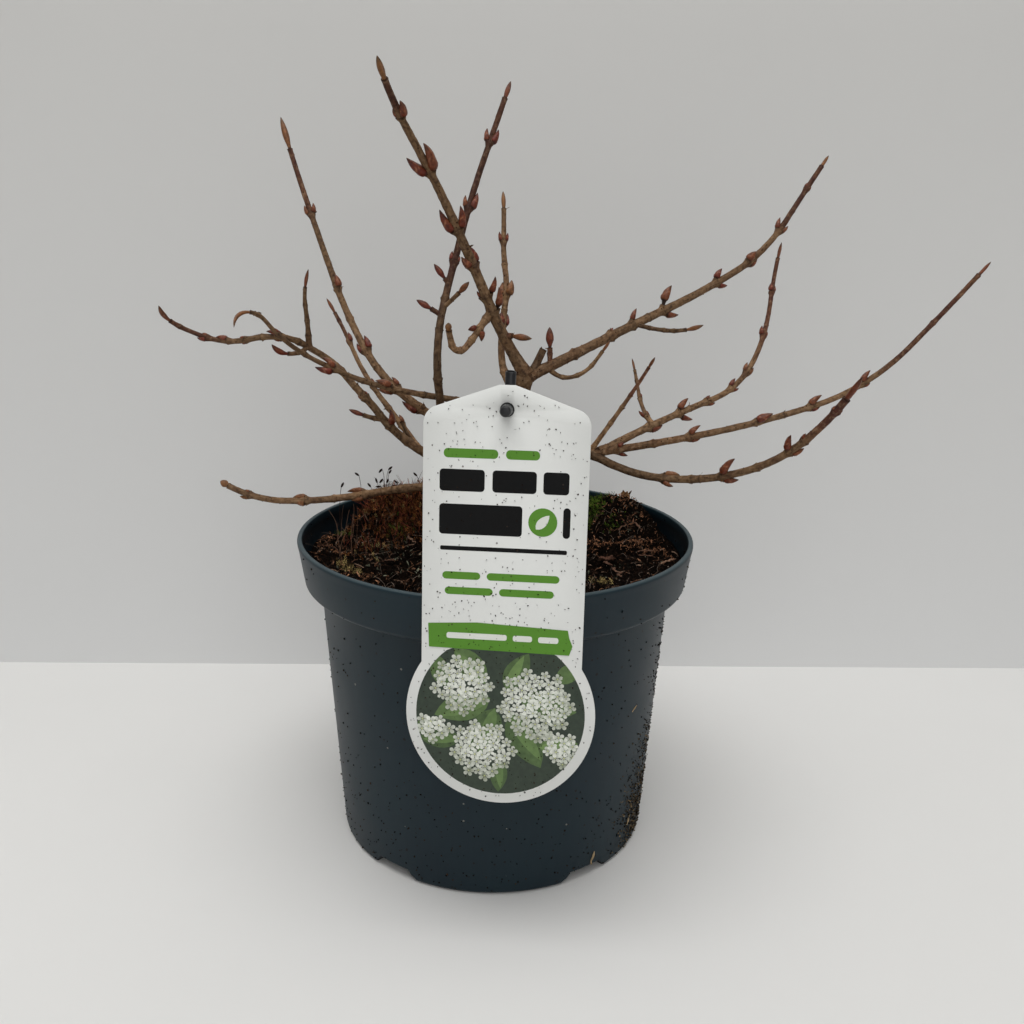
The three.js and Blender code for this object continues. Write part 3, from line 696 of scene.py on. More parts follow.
@dataclass(frozen=True)
class Strewing:
    """A Geometry Nodes tree that strews turned copies of a small shape over a surface.

    The surface keeps a value between 0 and 1 under the name `mask`. Each copy is stretched its
    own way between the smallest and the largest scale, and gets a random value from 0 to 1
    under the name tint.
    """

    name: str
    mask: str
    per_square_metre: float
    smallest: float
    largest: float
    tilt: float  # degrees from the surface's normal
    seed: int
    lift: float = 0.0  # millimetres along the normal

    INPUTS: ClassVar[dict[str, str]] = {
        "Surface": "Geometry",
        "Shape": "Object",
        **dict.fromkeys(("Density", "Smallest", "Largest", "Tilt", "Lift"), "Float"),
        "Seed": "Int",
        "Finish": "Material",
    }

    @staticmethod
    def chance(graph: Graph, seed: object, low: object, high: object) -> object:
        """A random vector for each point, between two vectors or two numbers."""
        settings = {0: low, 1: high, "Seed": seed}
        return graph.add("FunctionNodeRandomValue", settings, data_type="FLOAT_VECTOR").outputs[0]

    def tree(self) -> bpy.types.NodeTree:
        """Builds the node tree."""
        tree = bpy.data.node_groups.new(self.name, "GeometryNodeTree")
        for label, kind in self.INPUTS.items():
            tree.interface.new_socket(label, in_out="INPUT", socket_type=f"NodeSocket{kind}")
        tree.interface.new_socket("Pieces", in_out="OUTPUT", socket_type="NodeSocketGeometry")
        graph = Graph(tree)
        given = graph.add("NodeGroupInput").outputs
        mask = graph.add("GeometryNodeInputNamedAttribute", {"Name": self.mask}, data_type="FLOAT")
        density = graph.times(mask.outputs["Attribute"], given["Density"])
        seed = given["Seed"]
        surface = {"Mesh": given["Surface"], "Density": density, "Seed": seed}
        strewn = graph.add("GeometryNodeDistributePointsOnFaces", surface).outputs
        lift = graph.add(
            "ShaderNodeVectorMath", {0: strewn["Normal"], "Scale": given["Lift"]}, operation="SCALE"
        )
        raised = graph.add(
            "GeometryNodeSetPosition", {"Geometry": strewn["Points"], "Offset": lift.outputs[0]}
        )
        opposite = graph.times(given["Tilt"], -1.0)
        least = graph.add("ShaderNodeCombineXYZ", {0: opposite, 1: opposite, 2: 0.0})
        most = graph.add("ShaderNodeCombineXYZ", {0: given["Tilt"], 1: given["Tilt"], 2: math.tau})
        turn = self.chance(graph, seed, least.outputs[0], most.outputs[0])
        as_rotation = graph.add("FunctionNodeEulerToRotation", {0: turn})
        turned = graph.add(
            "FunctionNodeRotateRotation",
            {0: strewn["Rotation"], 1: as_rotation.outputs[0]},
            rotation_space="LOCAL",
        )
        size = self.chance(graph, graph.plus(seed, 1.0), given["Smallest"], given["Largest"])
        shape = graph.add("GeometryNodeObjectInfo", {0: given["Shape"]})
        copies = graph.add(
            "GeometryNodeInstanceOnPoints",
            {
                "Points": raised.outputs[0],
                "Instance": shape.outputs["Geometry"],
                "Rotation": turned.outputs[0],
                "Scale": size,
            },
        )
        tint = graph.add("FunctionNodeRandomValue", {"Seed": graph.plus(seed, 2.0)}, data_type="FLOAT")
        stored = graph.add(
            "GeometryNodeStoreNamedAttribute",
            {"Geometry": copies.outputs[0], "Name": "tint", "Value": tint.outputs[1]},
            data_type="FLOAT",
            domain="INSTANCE",
        )
        real = graph.add("GeometryNodeRealizeInstances", {0: stored.outputs[0]})
        dressed = graph.add("GeometryNodeSetMaterial", {0: real.outputs[0], "Material": given["Finish"]})
        graph.add("NodeGroupOutput", {0: dressed.outputs[0]})
        return tree

    def over(
        self, ground: bpy.types.Object, shape: bpy.types.Object, finish: bpy.types.Material, slot: str
    ) -> None:
        """Strews the shape over the ground and seats the copies as one plain mesh.

        Args:
            ground: The object whose surface carries the copies.
            shape: The object to copy.
            finish: The material of the copies.
            slot: Not used.
        """
        host = put_in_scene(bpy.data.objects.new(f"{self.name}_host", ground.data.copy()))
        modifier = host.modifiers.new(self.name, "NODES")
        modifier.node_group = self.tree()
        settings = {
            "Shape": shape,
            "Density": self.per_square_metre,
            "Smallest": self.smallest,
            "Largest": self.largest,
            "Tilt": math.radians(self.tilt),
            "Lift": self.lift * MM,
            "Seed": self.seed,
            "Finish": finish,
        }
        for item in modifier.node_group.interface.items_tree:
            if item.in_out == "INPUT" and item.name in settings:
                modifier[item.identifier] = settings[item.name]
        graph = bpy.context.evaluated_depsgraph_get()
        mesh = bpy.data.meshes.new_from_object(host.evaluated_get(graph))
        bpy.data.objects.remove(host)
        mesh.name = self.name
        for layer in [item.name for item in mesh.attributes if item.name in SURFACE_VALUES]:
            mesh.attributes.remove(mesh.attributes[layer])
        seat(put_in_scene(bpy.data.objects.new(self.name, mesh)), finish)


class Morsel(Enum):
    """The small shapes that are strewn."""

    CRUMB = "crumb"
    SPLINTER = "splinter"
    SHRED = "shred"
    FIBRE = "fibre"
    SETA = "seta"
    MOSS = "moss"
    LENTICEL = "lenticel"
    FLAKE = "flake"


@dataclass(frozen=True)
class Sliver:
    """A thin, twisted and bent piece of bark with ragged ends; sizes in millimetres."""

    length: float
    width: float
    thickness: float
    bend: float
    twist: float = 50.0  # degrees from end to end
    sides: int = 4
    rings: int = 4

    def add_to(self, shell: Shell, deal: np.random.Generator, **values: float) -> None:
        """Adds the piece, lying along X about the origin, to a mesh."""
        shares = np.linspace(0, 1, self.rings)
        line = np.column_stack([
            (shares - 0.5) * self.length,
            deal.normal(0, 0.06 * self.length, self.rings),
            self.bend * (1 - (2 * shares - 1) ** 2) + 0.5 * self.thickness,
        ])
        narrowing = 1 - 0.75 * np.abs(2 * shares - 1) ** 3
        widths = self.width / 2 * narrowing * deal.uniform(0.75, 1.2, self.rings)
        angles = np.arange(self.sides) * math.tau / self.sides + 0.4
        turns = np.radians(self.twist) * (shares - 0.5)
        across = widths[:, None] * np.cos(angles) * deal.uniform(0.8, 1.2, (self.rings, self.sides))
        up = self.thickness / 2 * np.sin(angles)[None, :] * deal.uniform(0.7, 1.3, (self.rings, self.sides))
        y = across * np.cos(turns)[:, None] - up * np.sin(turns)[:, None]
        z = across * np.sin(turns)[:, None] + up * np.cos(turns)[:, None]
        x = deal.normal(0, 0.05 * self.length, y.shape) * (np.abs(2 * shares - 1) > 0.9)[:, None]
        points = line[:, None] + np.stack([x, y, z], axis=-1)
        points = np.vstack([points.reshape(-1, 3), line[:1], line[-1:]])
        shell.add(points, tube_faces(self.rings, self.sides), **values)


def make_morsel(kind: Morsel, seed: int = 1) -> bpy.types.Object:
    """Builds one small shape, about a millimetre across unless its kind is longer.

    Args:
        kind: Which shape.
        seed: What its irregularities are dealt from.

    Returns:
        The object, which is removed again once it has been strewn.
    """
    deal = np.random.default_rng(seed)
    shell = Shell()
    if kind in (Morsel.CRUMB, Morsel.LENTICEL):
        ball = bmesh.new()
        bmesh.ops.create_icosphere(ball, subdivisions=1, radius=0.5)
        points = np.array([vertex.co[:] for vertex in ball.verts])
        faces = np.array([[vertex.index for vertex in face.verts] for face in ball.faces])
        ball.free()
        rough = 0.3 if kind is Morsel.CRUMB else 0.1
        points *= 1 + deal.uniform(-rough, rough, (len(points), 1))
        points *= (1.0, 0.8, 0.7) if kind is Morsel.CRUMB else (1.0, 0.6, 0.45)
        shell.add(points, [faces])
    elif kind is Morsel.FLAKE:
        outline = np.array([[0, -0.35, 0], [0.9, -0.3, 0.35], [1.5, 0, 0.75], [0.8, 0.35, 0.3], [0, 0.3, 0]])
        shell.add(
            np.vstack([outline, outline - [0, 0, 0.12], [[0.5, 0, 0.2]], [[0.5, 0, 0.05]]]),
            tube_faces(2, 5),
        )
    elif kind is Morsel.SPLINTER:
        Sliver(5.5, 0.95, 0.5, deal.uniform(-0.4, 0.7)).add_to(shell, deal)
    elif kind is Morsel.SHRED:
        Sliver(2.3, 0.7, 0.3, deal.uniform(0.1, 0.5), 80.0, 3, 4).add_to(shell, deal)
    elif kind is Morsel.FIBRE:
        add_strand(
            shell, np.array([[0, 0, 0], [1.6, 0.5, 0.9], [3.6, 0.2, 1.2], [5.4, -0.9, 0.7]]), 0.13, 0.07
        )
    elif kind is Morsel.SETA:
        line = np.array([[0, 0, -0.5], [0.3, 0.1, 3.4], [0.1, 0.5, 6.6], [-0.6, 0.9, 9.6]])
        add_strand(shell, line, 0.17, 0.09)
    elif kind is Morsel.MOSS:
        for leaf in range(8):
            turn = leaf * GOLDEN_ANGLE
            low = 0.1 + 0.3 * leaf
            reach = 0.95 - 0.08 * leaf
            way = np.array([math.cos(turn), math.sin(turn), 0.0])
            side = np.array([-math.sin(turn), math.cos(turn), 0.0])
            foot = np.array([0, 0, low])
            tip = foot + way * reach + np.array([0, 0, 0.85])
            middle = (foot + tip) / 2 + way * 0.12
            leaf_points = [
                foot, middle - side * 0.14, tip, middle + side * 0.14, middle + np.array([0, 0, -0.08])
            ]
            shell.add(
                np.array(leaf_points), [[[0, 1, 2], [0, 2, 3], [0, 4, 1], [4, 2, 1], [0, 3, 4], [4, 3, 2]]]
            )
    return shell.build(f"{kind.value}_shape", sharp=30.0)


def add_strand(
    shell: Shell, line: np.ndarray, foot: float, tip: float, sides: int = 3, **values: float
) -> None:
    """Adds a thin closed strand along a line of points.

    Args:
        shell: What it is added to.
        line: Its points, from foot to tip.
        foot: Its radius at the foot.
        tip: Its radius at the tip.
        sides: How many sides it has.
        values: Values kept at its points.
    """
    ways = np.gradient(line, axis=0)
    ways /= np.linalg.norm(ways, axis=1)[:, None]
    across = np.cross(ways, [0.31, 0.92, 0.24])
    across /= np.linalg.norm(across, axis=1)[:, None]
    third = np.cross(across, ways)
    angles = np.arange(sides) * math.tau / sides
    radii = np.linspace(foot, tip, len(line))
    ring = across[:, None] * np.cos(angles)[None, :, None] + third[:, None] * np.sin(angles)[None, :, None]
    points = (line[:, None] + ring * radii[:, None, None]).reshape(-1, 3)
    shell.add(np.vstack([points, line[:1], line[-1:]]), tube_faces(len(line), sides), **values)


# ---------------------------------------------------------------- the shrub

PATH_STEPS = 48


@dataclass(frozen=True)
class Node:
    """A node of a limb: the lengths of its left and right buds, and how they stand."""

    left: float = 0.0  # millimetres; left is seen along the limb from the front
    right: float = 0.0
    splay: tuple[float, float] = (14.0, 14.0)  # degrees from the limb
    stalk: tuple[float, float] = (0.0, 0.0)
    turn: float = 0.0  # degrees about the limb, the left bud to the front
    tan: float = 0.15  # how tan, rather than red, the buds are
    plump: float = 1.0  # how thick they are


@dataclass(frozen=True)
class LimbPlan:
    """How one limb grows; its heading and rise change evenly from key to key."""

    on: str  # the limb that carries it
    at: float  # how far along that limb
    length: float
    thick: tuple[float, float]  # diameters at the foot and at the tip
    heading: tuple[float, ...]  # degrees from +X towards +Y
    rise: tuple[float, ...]  # degrees above level
    bough: float = 0.0  # the length of old wood; the rest is its twigs
    nodes: dict[float, Node] = field(default_factory=dict)
    knots: tuple[float, ...] = ()  # rings without buds
    shoot: float = 25.0  # length of the red-brown shoot at the tip
    shade: tuple[float, float] = (1.0, 1.0)  # how bright its wood is at the foot and at the tip
    bud: float = 10.0  # length of the terminal bud
    tan: float = 0.25  # how tan, rather than red, that bud is
    plump: float = 1.0  # how thick that bud is
    cut: bool = False
    flare: float = 0.0


TRUNK = LimbPlan(
    "", 0, 92, (12.6, 8.6), (146, 4, -31), (85, 87, 69), bough=92, shade=(0.8, 0.8), cut=True, flare=0.45
)

LIMBS: dict[str, LimbPlan] = {
    "left_tall": LimbPlan(
        "trunk", 90, 158, (5.7, 2.5), (-176, -156, -138, -119, -98), (57, 66, 59, 43, 38), bough=64,
        nodes={
            33: Node(0, 8.5, (0, 26), (0, 2)),
            41: Node(3.2, 7.2, (12, 38), (0, 1)),
            56: Node(6.5, 8.2, (24, -2), turn=48, plump=1.15),
            73: Node(11.2, 9.6, (9, 22)),
            101: Node(11.0, 12.4, (24, 7)),
            129: Node(4.0, 7.4, (6, 12), turn=-24),
        },
        shoot=26, shade=(0.86, 0.9), bud=11, tan=0.9,
    ),
    "right_high": LimbPlan(
        "trunk", 88, 205, (5.5, 2.3), (19, 30, 22, 22, 33, 32), (22, 21, 22, 28, 51, 50), bough=72,
        nodes={
            50: Node(2.4, 0, (25, 0)),
            63: Node(6.2, 0, (44, 0), (0.5, 0), tan=0.4),
            81: Node(8.6, 6.8, (38, 26), (3, 0.6), tan=0.3, plump=1.1),
            113: Node(6.0, 5.0, (30, 28), (0.5, 0), plump=1.25),
            133: Node(6.2, 6.0, (12, 8), turn=38, tan=0.4, plump=1.3),
            157: Node(6.2, 5.2, (24, 12), tan=0.3),
            184: Node(2.4, 2.0, (10, 10)),
        },
        knots=(28,), shoot=46, shade=(0.95, 0.82), bud=7.0, tan=0.85, plump=0.75,
    ),
    "middle": LimbPlan(
        "trunk", 80, 99, (3.7, 2.15), (180, 107, 57, 109, 89, 102), (41, 75, 76, 64, 72, 67), bough=42,
        nodes={
            35: Node(5.6, 6.0, (8, 22), turn=58, plump=1.35),
            49: Node(6.4, 7.0, (10, 12), turn=-32, tan=0.7, plump=1.2),
            75: Node(4.8, 4.2, (12, 14), tan=0.05),
        },
        knots=(13, 64), shoot=0, shade=(1.5, 0.85), bud=8.5, tan=1.0, plump=0.95,
    ),
    "left_hooked": LimbPlan(
        "trunk", 73, 145, (3.6, 1.6), (-155, -177, -165, -159, -166, -132, -174, -85),
        (9, 8, 11, 15, 25, 31, 53, -63), bough=80,
        nodes={
            60: Node(0, 7.6, (0, 6), tan=0.05),
            87: Node(8.2, 7.0, (13, 16), turn=10),
            118: Node(2.0, 1.8),
        },
        knots=(29, 44, 73, 102, 129), shoot=0, shade=(0.86, 0.76), bud=13, tan=0.75, plump=1.0,
    ),
    "right_low": LimbPlan(
        "trunk", 56, 41, (5.6, 5.0), (-22, -4, -8), (6, 4, -32), bough=41, shade=(0.8, 0.8), cut=True,
    ),
    "left_high": LimbPlan(
        "trunk", 50, 221, (5.0, 2.3), (121, 199, 134, 139, 134, 135), (4, 35, 43, 62, 60, 66), bough=82,
        nodes={
            53: Node(9.0, 0, (4, 0)),
            68: Node(8.0, 5.2, (36, 10), tan=0.4),
            93: Node(6.2, 7.6, (6, 9)),
            129: Node(0, 6.8, (0, 2), turn=-30, tan=0.5),
            169: Node(5.4, 5.2, (7, 18), tan=0.4),
        },
        knots=(30, 112), shoot=50, shade=(1.3, 0.75), bud=17, tan=0.75, plump=1.3,
    ),
    "left_rim": LimbPlan(
        "trunk", 33, 152, (4.6, 3.0), (156, 168, 171, 175, 161), (3, -9, -13, -2, 26), bough=64,
        nodes={
            74: Node(7.0, 9.0, (3, 8), turn=34, tan=0.6, plump=0.8),
            105: Node(5.2, 7.0, (-8, 4), turn=44, tan=0.75, plump=1.15),
            135: Node(5.0, 2.6, (12, 12), tan=0.6),
        },
        knots=(52, 90), shoot=0, shade=(1.5, 0.9), bud=5, tan=0.9, plump=1.25,
    ),
    "left_front": LimbPlan(
        "trunk", 25, 199, (5.2, 1.8), (183, 184, 184, 214, 150, 239, 164, 169, 278),
        (25, 39, 34, 53, 43, 27, -15, 18, 49), bough=92,
        nodes={
            68: Node(0, 8.0, (0, 38), turn=-20),
            86: Node(2.2, 1.8),
            136: Node(2.5, 6.4, (10, 8)),
            152: Node(2.0, 2.4),
            161: Node(0, 5.4, (0, 8)),
            171: Node(4.4, 2.6, (8, 10), turn=15),
        },
        knots=(56, 102, 127, 144, 184), shoot=32, shade=(0.88, 0.9), bud=10.5, tan=0.3, plump=1.1,
    ),
    "upright": LimbPlan(
        "trunk", 12, 239, (4.7, 2.5), (-160, -152, -283, -281, -298, -305, -308),
        (49, 53, 115, 48, 63, 60, 62), bough=110,
        nodes={
            146: Node(4.8, 3.2, (8, 6)),
            173: Node(5.8, 8.4, (17, 5)),
            207: Node(6.6, 7.6, (19, 6)),
        },
        knots=(88, 126), shoot=110, shade=(0.58, 0.66), bud=9, tan=0.25, plump=0.95,
    ),
    "right_front": LimbPlan(
        "right_low", 41, 148, (3.9, 3.0), (-15, -25, -35, -49, -75), (-29, 2, 23, 46, 52), bough=54,
        nodes={
            37: Node(7.0, 5.2, (5, 22), turn=-34, tan=0.6),
            65: Node(9.8, 6.8, (36, 12)),
            99: Node(7.8, 6.0, (38, 8)),
            108: Node(2.8, 0, (20, 0)),
            128: Node(2.0, 1.8),
        },
        knots=(50, 82), shoot=34, shade=(0.62, 1.1), bud=13, tan=0.2, plump=0.9,
    ),
    "right_far": LimbPlan(
        "right_low", 41, 214, (3.8, 2.1), (1, 2, 6, 12, 19), (9, 12, 18, 46, 45), bough=92,
        nodes={
            13: Node(3.6, 5.0, (30, 34), turn=20, tan=0.0),
            47: Node(6.6, 4.6, (30, 4), tan=0.3),
            79: Node(8.0, 0, (16, 0), turn=40),
            105: Node(7.2, 4.4, (22, 4), tan=0.3),
            132: Node(6.6, 3.2, (25, 10)),
        },
        knots=(30, 175), shoot=68, shade=(1.15, 0.9), bud=8.5, tan=0.3, plump=0.8,
    ),
    "right_back": LimbPlan(
        "right_far", 4, 162, (3.9, 1.9), (15, 29, 20, 46, 71, 59), (27, 17, 18, 51, 64, 59), bough=52,
        nodes={
            28: Node(0, 7.2, (0, 4), tan=0.3),
            46: Node(7.4, 6.6, (28, 34), (0.6, 0.8), tan=0.2),
            62: Node(2.6, 4.2, (24, 12), tan=0.4),
            77: Node(5.0, 3.6, (20, 20)),
            89: Node(4.8, 4.6, (20, 6), tan=0.6),
            111: Node(5.0, 2.8, (14, 8)),
            135: Node(4.4, 4.0, (4, 4), turn=30),
        },
        shoot=56, shade=(1.05, 1.15), bud=9, tan=0.4, plump=0.9,
    ),
    "right_small": LimbPlan(
        "right_low", 40, 61, (2.6, 1.4), (-30, -65), (56, 49), knots=(19, 29, 37), shoot=26,
        shade=(1.7, 1.5), bud=6.6, tan=0.5,
    ),
    "right_thin": LimbPlan(
        "right_back", 30, 37, (2.3, 1.3), (138, 104, 106), (39, 58, 51),
        nodes={6: Node(4.4, 2.2, (20, 10)), 16: Node(0, 2.0)}, knots=(25,), shoot=0, shade=(1.35, 0.9),
        bud=6.5, tan=0.7, plump=0.8,
    ),
    "left_back": LimbPlan(
        "left_front", 50, 86, (3.3, 1.6), (129, 171, 136, 156), (39, 52, 55, 55), bough=40,
        nodes={
            15: Node(0, 4.4, (0, 12), tan=0.5),
            38: Node(0, 3.2, (0, 12), tan=0.5),
            62: Node(2.0, 4.8, (8, 8)),
        },
        knots=(25, 74), shoot=22, shade=(1.5, 0.9), bud=8, tan=0.4,
    ),
    "curled": LimbPlan(
        "left_tall", 33, 41, (3.3, 2.7), (-164, -132, -153, -132, -84), (-52, -46, -48, 75, 56),
        nodes={11: Node(4.6, 4.0, (34, 44), tan=0.2, plump=1.45)}, knots=(5, 17, 24, 30), shoot=0,
        shade=(1.15, 1.6), bud=4, tan=0.95, plump=1.1,
    ),
    "hanging": LimbPlan(
        "right_high", 13, 38, (2.3, 1.6), (-13, -1, -6, -7), (-56, 13, 55, 57), knots=(9, 16, 24), shoot=0,
        shade=(0.78, 1.45),
        bud=6, tan=0.6, plump=0.9,
    ),
    "shelf": LimbPlan(
        "right_high", 64, 34, (2.0, 1.9), (-31, -19, -26), (-14, -1, 25), knots=(8, 15, 20), shoot=8,
        shade=(0.72, 0.7),
        bud=8.5, tan=0.7, plump=1.2,
    ),
}

# Short shoots that are one piece with the wood that carries them.
SPURS = (
    LimbPlan("right_high", 4, 13, (3.6, 3.5), (30,), (62,), shoot=0, shade=(0.6, 0.5), cut=True),
    LimbPlan("right_high", 14, 18, (2.0, 2.6), (100,), (80,), knots=(6,), bud=9.5, tan=0.1, plump=1.6),
    LimbPlan("left_tall", 21, 14, (2.2, 2.4), (-20,), (-4,), bud=9.5, tan=0.6, plump=1.35),
    LimbPlan("upright", 117, 13, (1.9, 2.4), (176,), (30,), shade=(0.7, 0.7), bud=7.5, tan=0.05, plump=1.35),
    LimbPlan("upright", 121, 17, (1.6, 2.4), (-10, -20), (40, 48), shoot=0, bud=7, tan=0.5, plump=1.3),
    LimbPlan("upright", 134, 11, (1.8, 2.4), (172,), (52,), shade=(0.7, 0.7), bud=8, tan=0.0, plump=1.35),
    LimbPlan(
        "left_front", 71, 17, (1.8, 2.4), (190,), (10, 26), knots=(5,), shoot=0, bud=7, tan=0.1, plump=1.05
    ),
    LimbPlan("left_front", 52, 13, (2.0, 1.4), (170,), (62,), shoot=0, shade=(0.5, 0.5), cut=True),
    LimbPlan(
        "left_front", 120, 36, (2.7, 1.4), (-76, -102, -6), (75, 76, 74), knots=(6, 13, 20), shoot=0,
        shade=(0.8, 0.8), bud=8,
        tan=0.3,
    ),
    LimbPlan(
        "left_front", 121, 22, (1.8, 2.0), (254, 215, 244), (-28, 3, 51), knots=(7,), shoot=0, bud=10,
        tan=0.05, plump=1.35,
    ),
)


@dataclass(frozen=True)
class WoodRule:
    """The shape that every limb's wood follows."""

    taper: float = 0.8  # under 1, a limb thins fastest near its foot
    collar: float = 0.22  # swelling where a limb joins its parent
    flare_reach: float = 6.0
    node_swell: float = 0.16  # the ring under each pair of buds
    node_width: float = 1.8
    ledge: float = 0.8  # how far a leaf scar stands out
    ledge_length: float = 2.8
    ring_gap: float = 0.6  # between the rings of the mesh
    fine_gap: float = 0.3  # and where there is a leaf scar
    rough: float = 0.055  # depth of the bark's lumps, as a share of the radius
    foot_swell: float = 0.16  # of the outside of a limb, where it leaves the wood
    groove: float = 0.1  # the line round a node
    groove_width: float = 0.25
    knot_share: float = 0.8  # the ring of a knot, next to that of a node
    knot_ledge: float = 0.3
    knot_length: float = 2.2
    sink: float = 1.5  # how far a twig reaches back into its bough
    trunk_sides: int = 44
    bough_sides: int = 20
    twig_sides: int = 14
    spur_sides: int = 12


@dataclass(frozen=True)
class BudRule:
    """The shape that every bud follows: shares of its length, and its width at each."""

    SIDE: ClassVar[tuple[Profile, Profile]] = (
        (-0.1, 0.0, 0.04, 0.1, 0.18, 0.26, 0.34, 0.42, 0.5, 0.59, 0.68, 0.77, 0.85, 0.92, 0.96),
        (0.5, 0.66, 0.82, 0.94, 1.0, 1.02, 1.0, 0.96, 0.9, 0.8, 0.67, 0.51, 0.35, 0.21, 0.08),
    )
    TERMINAL: ClassVar[tuple[Profile, Profile]] = (
        (-0.12, 0.0, 0.07, 0.16, 0.26, 0.36, 0.46, 0.56, 0.66, 0.76, 0.85, 0.92, 0.97, 1.0),
        (0.6, 0.74, 0.76, 0.86, 0.98, 1.06, 1.08, 1.04, 0.94, 0.78, 0.58, 0.37, 0.2, 0.05),
    )

    slender: float = 0.37  # its width as a share of its length
    least: float = 0.75  # added to that width
    sink: float = 1.6  # how far its foot goes into the wood
    curl: float = 26.0  # degrees by which it turns back towards the limb
    outer: float = 0.09  # how far the short outer scales stand out
    seam: float = 0.13  # depth of the line where the scales of a side bud meet
    tip_seam: float = 0.14  # and of the line on a terminal bud
    uneven: float = 0.05
    seed: int = 1907
    sides: int = 12


WOOD = WoodRule()
BUD = BudRule()


def keyed(keys: Sequence[float], share: np.ndarray) -> np.ndarray:
    """Values a share of the way through a list of evenly spaced keys."""
    return np.interp(share * (len(keys) - 1), np.arange(len(keys)), keys)


@dataclass
class Places:
    """Where a limb is at some distances along it, and the axes of its cross-section."""

    point: np.ndarray
    way: np.ndarray
    side: np.ndarray
    face: np.ndarray

    def rings(self, angles: np.ndarray) -> np.ndarray:
        """Unit steps outwards at these angles, for every place."""
        turned = np.cos(angles)[None, :, None] * self.side[:, None]
        return turned + np.sin(angles)[None, :, None] * self.face[:, None]


STEM_FOOT: Point = (4.0, 0.0, 137.0)


class Limb:
    """A limb that has grown: its centre line and its thickness."""

    def __init__(self, name: str, plan: LimbPlan, foot: np.ndarray, seat_radius: float = 0.0) -> None:
        """Grows the centre line.

        Args:
            name: The limb's name.
            plan: How it grows.
            foot: Where it starts, on the centre line of the limb that carries it.
            seat_radius: The radius of that limb there.
        """
        self.name, self.plan, self.seat_radius = name, plan, seat_radius
        self.step = plan.length / PATH_STEPS
        share = (np.arange(PATH_STEPS) + 0.5) / PATH_STEPS
        heading, rise = np.radians(keyed(plan.heading, share)), np.radians(keyed(plan.rise, share))
        ways = np.stack(
            [np.cos(rise) * np.cos(heading), np.cos(rise) * np.sin(heading), np.sin(rise)], axis=-1
        )
        self.path = np.vstack([foot, foot + np.cumsum(ways * self.step, axis=0)])
        self.tangents = np.gradient(self.path, self.step, axis=0)

    def at(self, distances: Sequence[float] | np.ndarray) -> Places:
        """Where the limb is at these distances, and straight on past its ends."""
        distances = np.atleast_1d(np.asarray(distances, float))
        held = np.clip(distances / self.step, 0, PATH_STEPS)
        low = np.minimum(held.astype(int), PATH_STEPS - 1)
        share = (held - low)[:, None]
        start, end = self.path[low], self.path[low + 1]
        start_way, end_way = self.tangents[low], self.tangents[low + 1]
        square, cube = share**2, share**3
        point = (2 * cube - 3 * square + 1) * start + (3 * square - 2 * cube) * end
        point += self.step * ((cube - 2 * square + share) * start_way + (cube - square) * end_way)
        way = (1 - share) * start_way + share * end_way
        way /= np.linalg.norm(way, axis=1)[:, None]
        point += way * (distances - held * self.step)[:, None]
        side = np.cross(way, [0.0, 1.0, 0.0])
        side /= np.linalg.norm(side, axis=1)[:, None]
        return Places(point, way, side, np.cross(side, way))

    def radius(self, distances: Sequence[float] | np.ndarray) -> np.ndarray:
        """The limb's radius: its taper, the collar at its foot and a ring at each node."""
        distances = np.atleast_1d(np.asarray(distances, float))
        plan = self.plan
        share = np.clip(distances / plan.length, 0, 1) ** WOOD.taper
        taper = (plan.thick[0] + (plan.thick[1] - plan.thick[0]) * share) / 2
        beyond = np.maximum(distances, 0)
        swell = WOOD.collar * np.exp(-beyond / plan.thick[0])
        swell += plan.flare * np.exp(-beyond / WOOD.flare_reach)
        nodes = np.zeros_like(distances)
        for spot in (*plan.nodes, *plan.knots):
            weight = 1.0 if spot in plan.nodes else WOOD.knot_share
            nodes = np.maximum(nodes, weight * np.exp(-(((distances - spot) / WOOD.node_width) ** 2)))
        return taper * (1 + swell + WOOD.node_swell * nodes)

    def tip_length(self) -> float:
        """The length of the terminal bud, or nothing on a cut limb."""
        return 0.0 if self.plan.cut else min(self.plan.bud, self.plan.length * 0.75)


